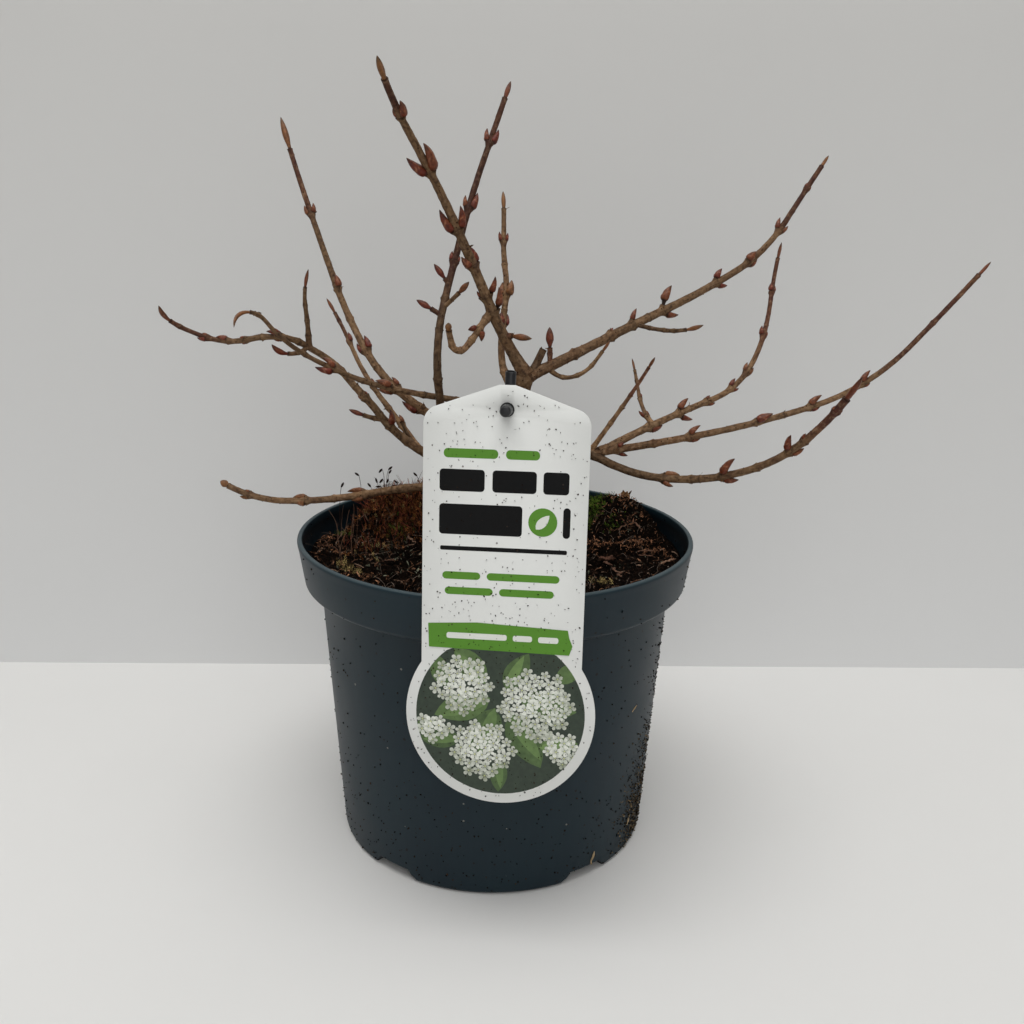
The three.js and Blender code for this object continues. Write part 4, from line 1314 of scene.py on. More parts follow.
class Shrub:
    """The trunk, the boughs, the twigs with their leaf scars, and the buds."""

    def __init__(self) -> None:
        """Grows every limb."""
        self.limbs: dict[str, Limb] = {"trunk": Limb("trunk", TRUNK, np.array(STEM_FOOT))}
        for name, plan in LIMBS.items():
            self.limbs[name] = self.grow(name, plan)
        self.spurs = [self.grow(f"spur_{number}", plan) for number, plan in enumerate(SPURS)]
        self.deal = np.random.default_rng(BUD.seed)

    def grow(self, name: str, plan: LimbPlan) -> Limb:
        """Grows a limb from the one that carries it."""
        parent = self.limbs[plan.on]
        return Limb(name, plan, parent.at(plan.at).point[0], float(parent.radius(plan.at)[0]))

    @staticmethod
    def out_of(limb: Limb, spot: float, hand: int) -> np.ndarray:
        """The way in which the left (1) or right (-1) bud of a node faces."""
        place = limb.at(spot)
        turn = Matrix.Rotation(math.radians(limb.plan.nodes[spot].turn), 3, Vector(place.way[0]))
        return np.array(turn @ Vector(place.side[0] * hand))

    # ------------------------------------------------ wood

    def ring_places(self, limb: Limb, start: float, end: float) -> np.ndarray:
        """Distances of the mesh's rings: even, and closer together at every leaf scar."""
        even = np.arange(start, end, WOOD.ring_gap)
        spots = (*limb.plan.nodes, *limb.plan.knots)
        fine = [np.arange(spot - WOOD.ledge_length - 0.3, spot + 1.2, WOOD.fine_gap) for spot in spots]
        places = np.concatenate([even, *fine])
        places = np.sort(places[(places >= start) & (places < end - 0.1)])
        kept = places[np.concatenate([[True], np.diff(places) > 0.12])]
        return np.append(kept, end)

    def wood_relief(
        self, limb: Limb, spots: np.ndarray, angles: np.ndarray, places: Places
    ) -> tuple[np.ndarray, np.ndarray]:
        """Radii with the bark's relief, and how much each point belongs to a dark scar.

        Args:
            limb: The limb.
            spots: Distances of its rings.
            angles: Angles of the points round each ring.
            places: Where the rings are.

        Returns:
            Two arrays of one number for each point of each ring.
        """
        around = places.rings(angles)
        radii = np.repeat(limb.radius(spots)[:, None], len(angles), axis=1)
        scars = np.zeros_like(radii)
        thick = np.clip(radii.mean(axis=1, keepdims=True) / 2.0, 0.6, 1.6)
        outside = np.maximum(0, spots - limb.seat_radius * 0.8)
        radii *= 1 + (WOOD.foot_swell * np.exp(-outside / 2.0))[:, None] * (limb.seat_radius > 0)
        for spot, node in limb.plan.nodes.items():
            behind = spot - 0.35 - spots
            slope = np.where((behind > 0) & (behind < WOOD.ledge_length), 1 - behind / WOOD.ledge_length, 0.0)
            for hand, length in ((1, node.left), (-1, node.right)):
                facing = smoothstep(0.1, 0.75, around @ self.out_of(limb, spot, hand))
                radii += WOOD.ledge * (0.6 + 0.08 * length) * thick * (slope**1.5)[:, None] * facing
                scars = np.maximum(scars, 0.7 * smoothstep(0.7, 0.95, slope)[:, None] * facing)
            groove = np.exp(-(((spots - spot + 0.1) / WOOD.groove_width) ** 2))[:, None]
            radii -= WOOD.groove * thick * groove
            scars = np.maximum(scars, 0.4 * groove)
        for knot in limb.plan.knots:
            behind = knot - spots
            slope = np.where((behind > 0) & (behind < WOOD.knot_length), 1 - behind / WOOD.knot_length, 0.0)
            radii += WOOD.knot_ledge * thick * (slope**1.5)[:, None]
            line = np.exp(-(((spots - knot - 0.1) / WOOD.groove_width) ** 2))
            scars = np.maximum(scars, 0.45 * line[:, None])
        points = places.point[:, None] + around * radii[..., None]
        rough = WOOD.rough * (1.4 if limb.name == "trunk" else 1.0)
        lumps = np.empty_like(radii)
        for row, spot in enumerate(spots):
            for column, turn in enumerate(angles):
                ridge = thick[row, 0] * 3.0
                grain = relief((ridge * math.cos(turn), ridge * math.sin(turn), spot * 0.16), 1.0)
                point = points[row, column]
                lumps[row, column] = relief(point, 4.5) + 0.75 * grain + 0.7 * relief(point, 1.7, 1)
        radii *= 1 + rough * lumps
        scars *= np.clip(0.75 + 0.8 * lumps, 0.2, 1.0)
        return radii, np.clip(scars, 0, 1)

    def add_wood(
        self, shell: Shell, limb: Limb, start: float, end: float, sides: int, sink: float = 0.0
    ) -> None:
        """Adds one stretch of a limb.

        Args:
            shell: What it is added to.
            limb: The limb.
            start: Where the stretch starts.
            end: Where it ends.
            sides: Points round each ring.
            sink: How far before its start the stretch begins, narrower, inside the wood.
        """
        plan = limb.plan
        spots = self.ring_places(limb, start, end)
        angles = np.arange(sides) * math.tau / sides
        places = limb.at(spots)
        radii, scars = self.wood_relief(limb, spots, angles, places)
        if limb.name in ("trunk", "right_low"):  # the crotch closes in a dome
            reach = float(limb.radius(end)[0]) * 1.1
            radii *= np.sqrt(1 - np.clip((spots - end + reach) / reach, 0, 0.97) ** 2)[:, None]
        elif plan.cut:
            scars = np.maximum(scars, smoothstep(end - 0.7, end, spots)[:, None])
        else:
            rim = np.exp(-(end - spots) / 0.6)
            radii *= (1 + 0.12 * rim)[:, None]
            scars = np.maximum(scars, 0.6 * smoothstep(0.5, 1.0, rim)[:, None])
        if sink:
            inner = limb.at([start - sink])
            keys = ("point", "way", "side", "face")
            places = Places(*(np.vstack([getattr(inner, key), getattr(places, key)]) for key in keys))
            radii, scars = np.vstack([radii[:1] * 0.8, radii]), np.vstack([scars[:1], scars])
            spots = np.insert(spots, 0, start - sink)
        points = (places.point[:, None] + places.rings(angles) * radii[..., None]).reshape(-1, 3)
        hollow = places.way[-1] * (0.8 if plan.cut and plan.length < 20 else 0.0)
        caps = np.vstack([places.point[0], places.point[-1] - hollow])
        age, shade = self.tints(limb, spots)
        along = spots[:, None] * 0.1 + plan.length
        grain = np.stack(np.broadcast_arrays(np.cos(angles), np.sin(angles), along), axis=-1).reshape(-1, 3)
        shell.add(
            np.vstack([points, caps]),
            tube_faces(len(spots), sides),
            age=np.concatenate([np.repeat(age, sides), age[[0, -1]]]),
            shade=np.concatenate([np.repeat(shade, sides), shade[[0, -1]]]),
            scar=np.concatenate([scars.ravel(), [scars[0, 0], scars[-1].max()]]),
            grain=np.vstack([grain, grain[:1], grain[-1:]]),
        )

    @staticmethod
    def tints(limb: Limb, spots: np.ndarray) -> tuple[np.ndarray, np.ndarray]:
        """How old the wood is, 0 at a fresh shoot to 1 at the stem, and how bright it is."""
        plan = limb.plan
        to_tip = plan.length - spots
        shoot = 1.0
        if plan.shoot:
            shoot = smoothstep(plan.shoot * 0.8, plan.shoot * 1.25 + 0.1, to_tip)
        old = smoothstep(90, 230, to_tip) if limb.name != "trunk" else 1.0
        ends = np.sort([0.0, *plan.nodes, *plan.knots, plan.length])
        stretch = np.searchsorted(ends, spots)
        uneven = 1 + 0.1 * np.sin(stretch * 2.4 + plan.length)
        shade = keyed(plan.shade, np.clip(spots / plan.length, 0, 1))
        return 0.14 + 0.36 * shoot + 0.4 * old, shade * uneven

    def build_wood(self, bark: bpy.types.Material) -> list[bpy.types.Object]:
        """Builds the old wood of the trunk and boughs, and the young wood of the twigs."""
        old, young = Shell(), Shell()
        self.add_wood(old, self.limbs["trunk"], 0, TRUNK.length, WOOD.trunk_sides)
        for limb in list(self.limbs.values())[1:]:
            plan = limb.plan
            end = plan.length - limb.tip_length()
            if plan.bough > 0:
                self.add_wood(old, limb, 0, min(plan.bough, end), WOOD.bough_sides)
            if plan.bough < end:
                sink = WOOD.sink if plan.bough > 0 else 0.0
                self.add_wood(young, limb, plan.bough, end, WOOD.twig_sides, sink)
        for spur in self.spurs:
            carrier = self.limbs[spur.plan.on].plan
            shell = old if spur.plan.at < carrier.bough else young
            self.add_wood(shell, spur, 0, spur.plan.length - spur.tip_length(), WOOD.spur_sides)
        boughs = [f"bough_{name}" for name, plan in LIMBS.items() if plan.bough > 0]
        twigs = [f"twigs_{name}" for name, plan in LIMBS.items() if not plan.cut]
        return [
            seat(old.build("old_wood", sharp=65), bark, ["trunk", *boughs]),
            seat(young.build("young_wood", sharp=65), bark, twigs),
        ]

    # ------------------------------------------------ buds

    def build_buds(self, finish: bpy.types.Material) -> None:
        """Builds the side buds and the terminal buds as one piece."""
        shell = Shell()
        for limb in self.limbs.values():
            for spot, node in limb.plan.nodes.items():
                for number, length in enumerate((node.left, node.right)):
                    if length > 0:
                        self.add_bud(shell, limb, spot, node, number, length)
        for limb in [*self.limbs.values(), *self.spurs]:
            if not limb.plan.cut:
                self.add_terminal(shell, limb)
        seat(shell.build("buds", sharp=40), finish)

    def add_bud(self, shell: Shell, limb: Limb, spot: float, node: Node, number: int, length: float) -> None:
        """Adds a side bud: two scales that meet in front, over two short outer ones.

        Args:
            shell: What it is added to.
            limb: The limb that carries it.
            spot: How far along the limb it stands.
            node: How the node's buds look.
            number: 0 for the left bud, 1 for the right.
            length: Its length.
        """
        shares, widths = np.array(BUD.SIDE)
        stalk = BUD.sink + node.stalk[number]
        reach = np.concatenate([np.linspace(0, stalk - 0.1 * length, 4)[:-1], stalk + shares * length])
        widths = np.concatenate([[0.5, 0.42, 0.42], widths])
        shares = np.concatenate([[-0.1] * 3, shares])
        place = limb.at(spot)
        out, way = self.out_of(limb, spot, 1 - 2 * number), place.way[0]
        splay, curl = math.radians(node.splay[number]), math.radians(BUD.curl)
        angle = splay + curl * (0.55 - np.clip(shares, 0, 1))
        aims = np.cos(angle)[:, None] * way + np.sin(angle)[:, None] * out
        steps = np.diff(reach, prepend=0.0)[:, None]
        lift = float(limb.radius(spot)[0]) - 0.35 * BUD.sink
        line = place.point[0] + out * lift - aims[0] * BUD.sink + np.cumsum(aims * steps, axis=0)
        across = np.cross(way, out)
        outward = np.cross(across, aims)
        angles = np.arange(BUD.sides) * math.tau / BUD.sides
        front = np.abs(np.cos(angles))[None, :]
        along = shares[:, None]
        width = (BUD.slender * length + BUD.least) * node.plump
        edge = 0.5 - 0.26 * front**2
        outer = BUD.outer * (1 - smoothstep(-0.02, 0.03, along - edge)) * smoothstep(-0.02, 0.08, along)
        near_seam = np.exp(-(((1 - front) / 0.035) ** 2))
        seam = BUD.seam * near_seam * smoothstep(0.15, 0.4, along) * (1 - smoothstep(0.8, 1.0, along))
        uneven = 1 + BUD.uneven * np.sin(angles * 2 + length)[None, :]
        uneven = uneven + self.deal.normal(0, 0.02, (len(shares), BUD.sides))
        radii = (widths[:, None] * uneven + outer * (widths[:, None] > 0.5) - seam) * width / 2
        flat = np.where(np.cos(angles) < 0, 0.7, 0.95)[None, :, None]
        ring = flat * np.cos(angles)[None, :, None] * outward[:, None]
        ring = ring + np.sin(angles)[None, :, None] * across
        points = (line[:, None] + ring * radii[..., None]).reshape(-1, 3)
        tip = line[-1] + aims[-1] * 0.02 * length
        # Pale margins at the step of the outer scales and along the lips by the seam, the lips partly a
        # painted highlight.
        step = np.exp(-(((along - edge) / 0.04) ** 2)) * smoothstep(0.02, 0.1, along)
        lips = 0.7 * np.exp(-(((1 - front - 0.12) / 0.06) ** 2)) * smoothstep(0.3, 0.5, along)
        margin = np.clip(step + lips, 0, 1)
        tan = float(np.clip(node.tan + self.deal.normal(0, 0.12), 0, 1))
        tints = (tan, 0.5 * (seam > 0.08), margin)
        self.close_bud(shell, points, line[0], tip, np.clip(shares, 0, 1), tints)

    def add_terminal(self, shell: Shell, limb: Limb) -> None:
        """Adds the long bud at a limb's tip: two clasped scales that bend with the shoot."""
        length, plump = limb.tip_length(), limb.plan.plump
        end = limb.plan.length - length
        last = float(limb.radius(end)[0])
        shares, widths = np.array(BUD.TERMINAL)
        widths = np.where(shares > 0.1, widths * (1 + (plump - 1) * smoothstep(0.05, 0.4, shares)), widths)
        places = limb.at(end + shares * length)
        angles = np.arange(BUD.sides) * math.tau / BUD.sides
        front = np.abs(np.cos(angles - 0.6))[None, :]
        along = shares[:, None]
        near_seam = np.exp(-(((1 - front) / 0.04) ** 2))
        seam = BUD.tip_seam * near_seam * smoothstep(0.1, 0.3, along) * (1 - smoothstep(0.85, 1.0, along))
        radii = (widths[:, None] - seam) * (0.9 + 0.1 * (1 - front)) * last
        points = (places.point[:, None] + places.rings(angles) * radii[..., None]).reshape(-1, 3)
        # Pale lips by the seam, partly a painted highlight.
        margin = 0.6 * np.exp(-(((1 - front - 0.12) / 0.06) ** 2)) * smoothstep(0.2, 0.4, along)
        tip = places.point[-1] + places.way[-1] * 0.1
        tints = (limb.plan.tan, 0.4 * (seam > 0.08), margin)
        self.close_bud(shell, points, places.point[0], tip, np.clip(shares, 0, 1), tints)

    @staticmethod
    def close_bud(
        shell: Shell,
        points: np.ndarray,
        foot: np.ndarray,
        tip: np.ndarray,
        height: np.ndarray,
        tints: tuple[float, np.ndarray, np.ndarray],
    ) -> None:
        """Adds the rings of a bud with their end points and their values.

        Args:
            shell: What they are added to.
            points: The rings, one after another.
            foot: The point that closes its foot.
            tip: The point that closes its tip.
            height: How far up the bud each ring is, from 0 to 1.
            tints: How tan it is, and the scar values and the pale margins, partly a painted highlight, of its
                rings.
        """
        tan, scar, margin = tints
        full = np.ones((len(height), BUD.sides))
        shell.add(
            np.vstack([points, foot, tip]),
            tube_faces(len(height), BUD.sides),
            reach=np.concatenate([np.repeat(height, BUD.sides), [0.0, 1.0]]),
            tan=np.full(len(points) + 2, tan),
            scar=np.concatenate([(scar * full).ravel(), [0.0, 0.2]]),
            margin=np.concatenate([(margin * full).ravel(), [0.0, 0.0]]),
        )

    def build(self) -> None:
        """Builds and dresses every piece of the plant."""
        wood = self.build_wood(BarkFinish().make())
        self.build_buds(BudFinish().make())
        dot, flake = make_morsel(Morsel.LENTICEL, 5), make_morsel(Morsel.FLAKE, 6)
        cork = LooseFinish("lenticel_cork", tone(26, 15, 10), tone(66, 42, 28), 0.8).make()
        dry = LooseFinish("dry_scales", tone(46, 30, 20), tone(124, 90, 60), 0.8).make()
        for number, (piece, slot) in enumerate(zip(wood, ("old_bark", "twigs"))):
            dots = Strewing(f"{piece.name}_lenticels", "age", 52000, 0.55, 1.2, 12, 11 + number)
            dots.over(piece, dot, cork, slot)
            flakes = Strewing(f"{piece.name}_scales", "scar", 160000, 0.5, 1.2, 35, 21 + number)
            flakes.over(piece, flake, dry, slot)
        bpy.data.objects.remove(dot)
        bpy.data.objects.remove(flake)


# ---------------------------------------------------------------- the pot


# Angle, height, length, thickness and slant of each shred stuck to the outside.
STUCK_BITS = ((-36.0, 80.0, 4.5, 0.9, 25.0), (-51.0, 9.0, 6.0, 1.6, 70.0), (-30.0, 16.0, 5.0, 1.2, 60.0))


@dataclass
class NurseryPot:
    """A turned plastic pot with a stepped collar, a lip and notches in its foot."""

    height: float = 150.0
    rim_radius: float = 95.0
    lip_height: float = 3.0
    collar_top: float = 93.9
    collar_foot: float = 91.5
    collar_inside: float = 90.0
    collar_height: float = 22.0
    body_top: float = 84.0
    base_radius: float = 76.0
    wall: float = 1.5
    foot_depth: float = 6.0
    foot_width: float = 5.0
    pad_radius: float = 42.0
    corner: float = 0.7
    notches: int = 5
    notch_angle: float = -54.0  # degrees, the middle of the first notch
    notch_width: float = 17.0
    notch_slant: float = 4.5
    notch_height: float = 5.5
    segments: int = 180
    cake_place: tuple[float, float] = (-25.0, 18.0)  # degrees from +X, and height
    cake_spread: tuple[float, float] = (10.0, 17.0)
    crumb_share: float = 0.035  # how much of the outside carries crumbs, high up
    crumb_foot: float = 0.2  # and how much more of it does so at the foot

    def inner_radius(self, height: float) -> float:
        """Inner radius of the wall at a height."""
        shoulder = self.height - self.collar_height
        foot, top = self.base_radius - self.wall, self.body_top - self.wall
        return foot + (top - foot) * min(height / shoulder, 1.0)

    def profile(self) -> np.ndarray:
        """The closed outline of the wall, as radii and heights, with rounded corners."""
        shoulder, lip = self.height - self.collar_height, self.height - self.lip_height
        channel, foot_inner = self.foot_depth, self.base_radius - self.foot_width
        floor = channel + self.wall
        body = np.linspace(self.notch_height + 1.0, shoulder - 2, 5)[:-1]
        share = (body - 1.5) / (shoulder - 3.5)
        wall = [(self.base_radius + (self.body_top - self.base_radius) * s, z) for s, z in zip(share, body)]
        outside = [
            (0.02, 0.0),
            (self.pad_radius, 0.0),
            (self.pad_radius + 1.5, channel),
            (foot_inner - 0.5, channel),
            (foot_inner, 0.0),
            (self.base_radius - 1.5, 0.0),
            (self.base_radius, 1.5),
            *wall,
            (self.body_top, shoulder - 2),
            (self.collar_foot - 1.5, shoulder),
            (self.collar_foot, shoulder + 1.5),
            (self.collar_top + 0.1, lip - 1.0),
            (self.collar_top + 0.7, self.height - 1.2),
            (self.collar_top + 0.3, self.height),
        ]
        inside = [
            (self.collar_top - self.wall, self.height),
            (self.collar_top - self.wall - 0.2, self.height - 0.7),
            (self.collar_top - self.wall - 0.3, lip - 2),
            (self.collar_foot - self.wall, shoulder + 2.5),
            (self.inner_radius(shoulder), shoulder + self.wall),
            (self.inner_radius(floor), floor),
            (self.pad_radius, floor),
            (self.pad_radius - 1.5, self.wall),
            (0.02, self.wall),
        ]
        return rounded([*outside, *inside], self.corner)

    def angles(self) -> np.ndarray:
        """Angles of the columns of points, with extra ones at the sides of each notch."""
        even = np.arange(self.segments) * 360 / self.segments
        half = self.notch_width / 2
        edges = np.array([half - 1.5, half, half + self.notch_slant / 2, half + self.notch_slant])
        edges = np.degrees(np.concatenate([edges, -edges]) / self.base_radius)
        centres = self.notch_angle + np.arange(self.notches) * 360 / self.notches
        extra = (centres[:, None] + edges[None]).ravel() % 360
        clear = np.abs((even[:, None] - extra[None] + 180) % 360 - 180).min(axis=1) > 0.5
        return np.radians(np.sort(np.concatenate([even[clear], extra])))

    def notch(self, angles: np.ndarray) -> np.ndarray:
        """Height of the foot's lower edge at these angles: 0 between the notches."""
        period = math.tau / self.notches
        off = (angles - math.radians(self.notch_angle) + period / 2) % period - period / 2
        across = np.abs(off) * self.base_radius
        share = np.clip((self.notch_width / 2 + self.notch_slant - across) / self.notch_slant, 0, 1)
        return self.notch_height * share * (2 - share) ** 0.5 * np.where(share < 1, share**0.2, 1.0)

    def dirt(self, points: np.ndarray) -> tuple[np.ndarray, np.ndarray]:
        """How thick the crumbs lie at each point, and how much soil is caked on at the right."""
        x, y, z = points.T
        radius = np.hypot(x, y)
        shoulder = self.height - self.collar_height
        body = self.base_radius + (self.body_top - self.base_radius) * z / shoulder
        outside = smoothstep(-3.0, -1.0, radius - body)
        angle = np.degrees(np.arctan2(y, x))
        (middle, height), (wide, tall) = self.cake_place, self.cake_spread
        cake = np.exp(-(((angle - middle) / wide) ** 2)) * np.exp(-(((z - height) / tall) ** 2))
        smear = 0.5 * np.exp(-(((angle + 14) / 11) ** 2)) * (1 - smoothstep(100, 145, z))
        scatter = self.crumb_share + self.crumb_foot * np.exp(-z / 24.0)
        outside = outside * (z > 1.6)
        return outside * np.clip(scatter + smear, 0, 1) * (z < 147), outside * cake

    def build(self) -> None:
        """Builds the pot and the crumbs of soil that stick to it."""
        profile, angles = self.profile(), self.angles()
        notch = self.notch(angles)
        radius, height = np.meshgrid(profile[:, 0], angles, indexing="ij")[0], profile[:, 1][:, None]
        raised = np.maximum(height, notch[None, :])
        foot = (profile[:, 0] > self.pad_radius + 3)[:, None] & (profile[:, 1] < self.notch_height)[:, None]
        heights = np.where(foot, raised, height * np.ones_like(raised))
        points = np.stack([radius * np.cos(angles), radius * np.sin(angles), heights], axis=-1).reshape(-1, 3)
        reach, level = np.hypot(points[:, 0], points[:, 1]), points[:, 2]
        shoulder = self.height - self.collar_height
        levels = [0, shoulder, shoulder + 1, self.height]
        outer = np.interp(
            level, levels, [self.base_radius, self.body_top, self.collar_inside, self.rim_radius]
        )
        # Where shade is painted on the inner wall, and the rim's top, where a highlight is painted.
        inside = (reach < outer - 1.0) * (1 - smoothstep(146.0, 149.5, level))
        worn = smoothstep(149.2, 149.8, level)
        dirt, cake = self.dirt(points)
        shell = Shell()
        shell.add(
            points, turned_faces(len(profile), len(angles)), dirt=dirt, cake=cake, inside=inside, worn=worn
        )
        pot = shell.build("nursery_pot", sharp=35)
        heal(pot)
        seat(pot, PotFinish().make(), ["pot"])
        crumb, shred = make_morsel(Morsel.CRUMB, 3), make_morsel(Morsel.SHRED, 4)
        soil = LooseFinish("stuck_soil", tone(7, 5, 4), tone(84, 66, 50), gloom=3.0).make()
        caked = LooseFinish("caked_soil", tone(8, 6, 5), tone(168, 146, 114), gloom=3.4).make()
        for layer, shape, finish in (
            (Strewing("pot_soil", "dirt", 250000, 0.3, 1.5, 90, 31, lift=0.05), crumb, soil),
            (Strewing("pot_cake", "cake", 900000, 0.4, 1.6, 90, 32, lift=0.1), crumb, caked),
            (Strewing("pot_shreds", "cake", 200000, 0.4, 1.2, 80, 33, lift=0.3), shred, caked),
        ):
            layer.over(pot, shape, finish, "compost")
        bits = Shell()
        deal = np.random.default_rng(71)
        for angle, height, length, thick, slant in STUCK_BITS:
            bit = Shell()
            Sliver(length, thick, 0.6, 0.2, 40.0, 5, 6).add_to(bit, deal)
            out = math.radians(angle)
            turn = Matrix.Rotation(out + math.pi / 2, 3, "Z") @ Matrix.Rotation(-math.radians(slant), 3, "Y")
            reach = self.inner_radius(height) + self.wall + 0.1
            place = [reach * math.cos(out), reach * math.sin(out), height]
            bits.lay(bit, turn, place, tint=1.5)
        seat(bits.build("pot_bits"), caked)
        bpy.data.objects.remove(crumb)
        bpy.data.objects.remove(shred)


def heal(piece: bpy.types.Object, distance: float = 0.01) -> None:
    """Merges doubled points of a mesh and turns its faces outwards.

    Args:
        piece: The object.
        distance: How close merged points are, in millimetres.
    """
    work = bmesh.new()
    work.from_mesh(piece.data)
    bmesh.ops.remove_doubles(work, verts=work.verts, dist=distance * MM)
    bmesh.ops.recalc_face_normals(work, faces=work.faces)
    work.to_mesh(piece.data)
    work.free()


# ---------------------------------------------------------------- the compost


@dataclass(frozen=True)
class Patch:
    """A round patch of the compost where one kind of growth is thick."""

    x: float
    y: float
    width: float
    weight: float = 1.0

    def share(self, x: np.ndarray, y: np.ndarray) -> np.ndarray:
        """The patch's weight at some places."""
        return self.weight * np.exp(-((x - self.x) ** 2 + (y - self.y) ** 2) / self.width**2)


@dataclass(frozen=True)
class Mound:
    """A mound or, with a negative rise, a hollow: flat-topped across, round from front to back."""

    x: float
    y: float
    rise: float
    width: float
    depth: float

    def height(self, x: np.ndarray, y: np.ndarray) -> np.ndarray:
        """How much it adds to the height at some places."""
        across, along = (x - self.x) / self.width, (y - self.y) / self.depth
        return self.rise * np.exp(-(across**4) - along**2)


@dataclass(frozen=True)
class Straw:
    """A thin straw or stick: its foot, how far it leans to the right and back, and its rise."""

    x: float
    y: float
    right: float
    back: float
    rise: float
    radius: float = 0.24
    tint: float = 0.4


STRAWS = (
    Straw(-79, 14, -5, 2, 13, 0.11, 0.7), Straw(-79, 22, 1, 3, 15, 0.12, 0.4),
    Straw(-76, 14, 2, 4, 13, 0.11, 0.6), Straw(-72, 12, 1, 2, 18, 0.2, 0.3),
    Straw(-75, -4, -1, 1, 13, 0.15, 0.35), Straw(-68, -14, 1, 1, 21, 0.24, 0.35),
    Straw(-73, -18, -1, 2, 11, 0.14, 0.5), Straw(-71, -24, 1, 3, 12, 0.16, 0.45),
    Straw(-66, -20, 1, 1, 10, 0.15, 0.3), Straw(-79, 6, 6, 3, 8, 0.12, 0.75),
    Straw(-62, -10, 0, 3, 9, 0.14, 0.1), Straw(-69, 4, 1, 2, 20, 0.15, 0.15),
    Straw(-86, -4, 13, -18, 2.5, 0.3, 0.12), Straw(-88, 6, 8, -16, 2.5, 0.26, 0.2),
)

STICKS = (
    Straw(52, -12, 3, -9, 1.4, 0.62, 0.3), Straw(55, -20, 4, -15, 0.4, 0.66, 0.42),
    Straw(50, -10, 7, -3, 1.6, 1.7, 0.1), Straw(69, -5, 7, -3, 1.6, 0.45, 0.38),
    Straw(69, -9, 7, -3, 1.2, 0.4, 0.3), Straw(77, -26, 7, 3, 1.4, 0.62, 0.8),
    Straw(-52, -18, 6, -3, 1.4, 0.45, 0.3), Straw(-40, 10, -4, 3, 2.4, 0.5, 0.9),
    Straw(-34, -14, 6, 4, 1.6, 0.5, 0.3), Straw(30, -60, 10, 5, 2.0, 0.6, 0.4),
    Straw(-20, -62, 11, -4, 2, 0.6, 0.4), Straw(20, 56, -12, 6, 2, 0.6, 0.4),
    Straw(-8, -44, -11, -5, 2, 0.7, 0.3), Straw(62, 26, 6, 6, 1.5, 0.45, 0.35),
    Straw(74, 22, -3, 10, 2.4, 0.5, 0.35),
)


@dataclass(frozen=True)
class SporeStalk:
    """A wiry stalk with a nodding capsule: its foot, its rise, and which way it nods."""

    x: float
    y: float
    rise: float
    nod: float  # degrees from +X towards +Y
    droop: float = 25.0  # degrees below level


SPORE_STALKS = (
    SporeStalk(-79.5, 22, 24, 20, -60), SporeStalk(-71.5, 43, 21, 180, -35),
    SporeStalk(-67, 53, 7, 170, -50), SporeStalk(-68.5, 52, 3.5, 20, -25), SporeStalk(-64, 54, 6, 140, -65),
    SporeStalk(-61, 55, 12, 190, 50), SporeStalk(-60, 57, 11, 25, -35), SporeStalk(-59, 54, 9.5, 60, -40),
    SporeStalk(-60.5, 53, 7, 200, 50), SporeStalk(-58.5, 56, 6.5, 250, 40),
    SporeStalk(-57, 56, 5.5, 20, 45), SporeStalk(-61.5, 52, 3.5, 180, 5), SporeStalk(-57.5, 53, 3.5, 0, 5),
    SporeStalk(-43, 60, 7, 160, -40), SporeStalk(-41, 63, 9, 30, 30), SporeStalk(-36, 66, 6, 200, 20),
    SporeStalk(-28, 70, 8, 80, 30), SporeStalk(-20, 68, 5, 320, 40),
)


@dataclass(frozen=True)
class Cover(Strewing):
    """What is strewn over the fill: its shape and tints."""

    kind: Morsel = Morsel.CRUMB
    dark: tuple[int, int, int] = (0, 0, 0)  # display colours from 0 to 255
    light: tuple[int, int, int] = (255, 255, 255)
    gloom: float = 1.0  # over 1, more of them are dark


COVERS = (
    Cover("peat_crumbs", "bare", 250000, 0.35, 1.9, 90, 3, 0.1, Morsel.CRUMB, (3, 2, 2), (52, 37, 28), 2.0),
    Cover(
        "splinters_long", "bare", 15000, 0.4, 1.25, 32, 5, 0.3, Morsel.SPLINTER, (7, 5, 4), (205, 168, 142),
        4.0,
    ),
    Cover(
        "splinters_bent", "bare", 15000, 0.35, 1.1, 45, 6, 0.4, Morsel.SPLINTER, (6, 4, 3), (190, 138, 108),
        4.0,
    ),
    Cover("shreds", "bare", 80000, 0.45, 1.4, 60, 7, 0.3, Morsel.SHRED, (7, 4, 4), (205, 150, 114), 4.2),
    Cover("dry_fibres", "bare", 26000, 0.35, 1.3, 50, 8, 0.4, Morsel.FIBRE, (14, 9, 8), (208, 184, 166), 3.2),
    Cover(
        "olive_shreds", "olive", 110000, 0.4, 1.3, 70, 16, 0.5, Morsel.SHRED, (6, 6, 4), (176, 176, 150),
        3.4,
    ),
    Cover(
        "litter_grains", "litter", 640000, 0.35, 1.05, 80, 9, 0.8, Morsel.SHRED, (36, 20, 13),
        (212, 152, 114), 1.7,
    ),
    Cover(
        "russet_moss", "russet", 640000, 0.5, 1.7, 35, 10, 0.1, Morsel.MOSS, (9, 5, 4), (224, 146, 88), 2.8
    ),
    Cover(
        "red_stalks", "stalks", 430000, 0.3, 1.0, 26, 11, 0.1, Morsel.SETA, (15, 6, 5), (218, 120, 96), 2.7
    ),
    Cover(
        "green_moss", "green", 900000, 0.45, 1.2, 30, 12, 0.3, Morsel.MOSS, (10, 18, 5), (128, 158, 62), 1.7
    ),
    Cover(
        "yellow_moss", "yellow", 800000, 0.6, 1.5, 30, 13, 0.6, Morsel.MOSS, (40, 28, 12), (236, 208, 140),
        1.8,
    ),
    Cover(
        "pale_grit", "bare", 8000, 0.25, 0.8, 80, 15, 0.6, Morsel.CRUMB, (70, 58, 50), (190, 176, 160), 1.6
    ),
)

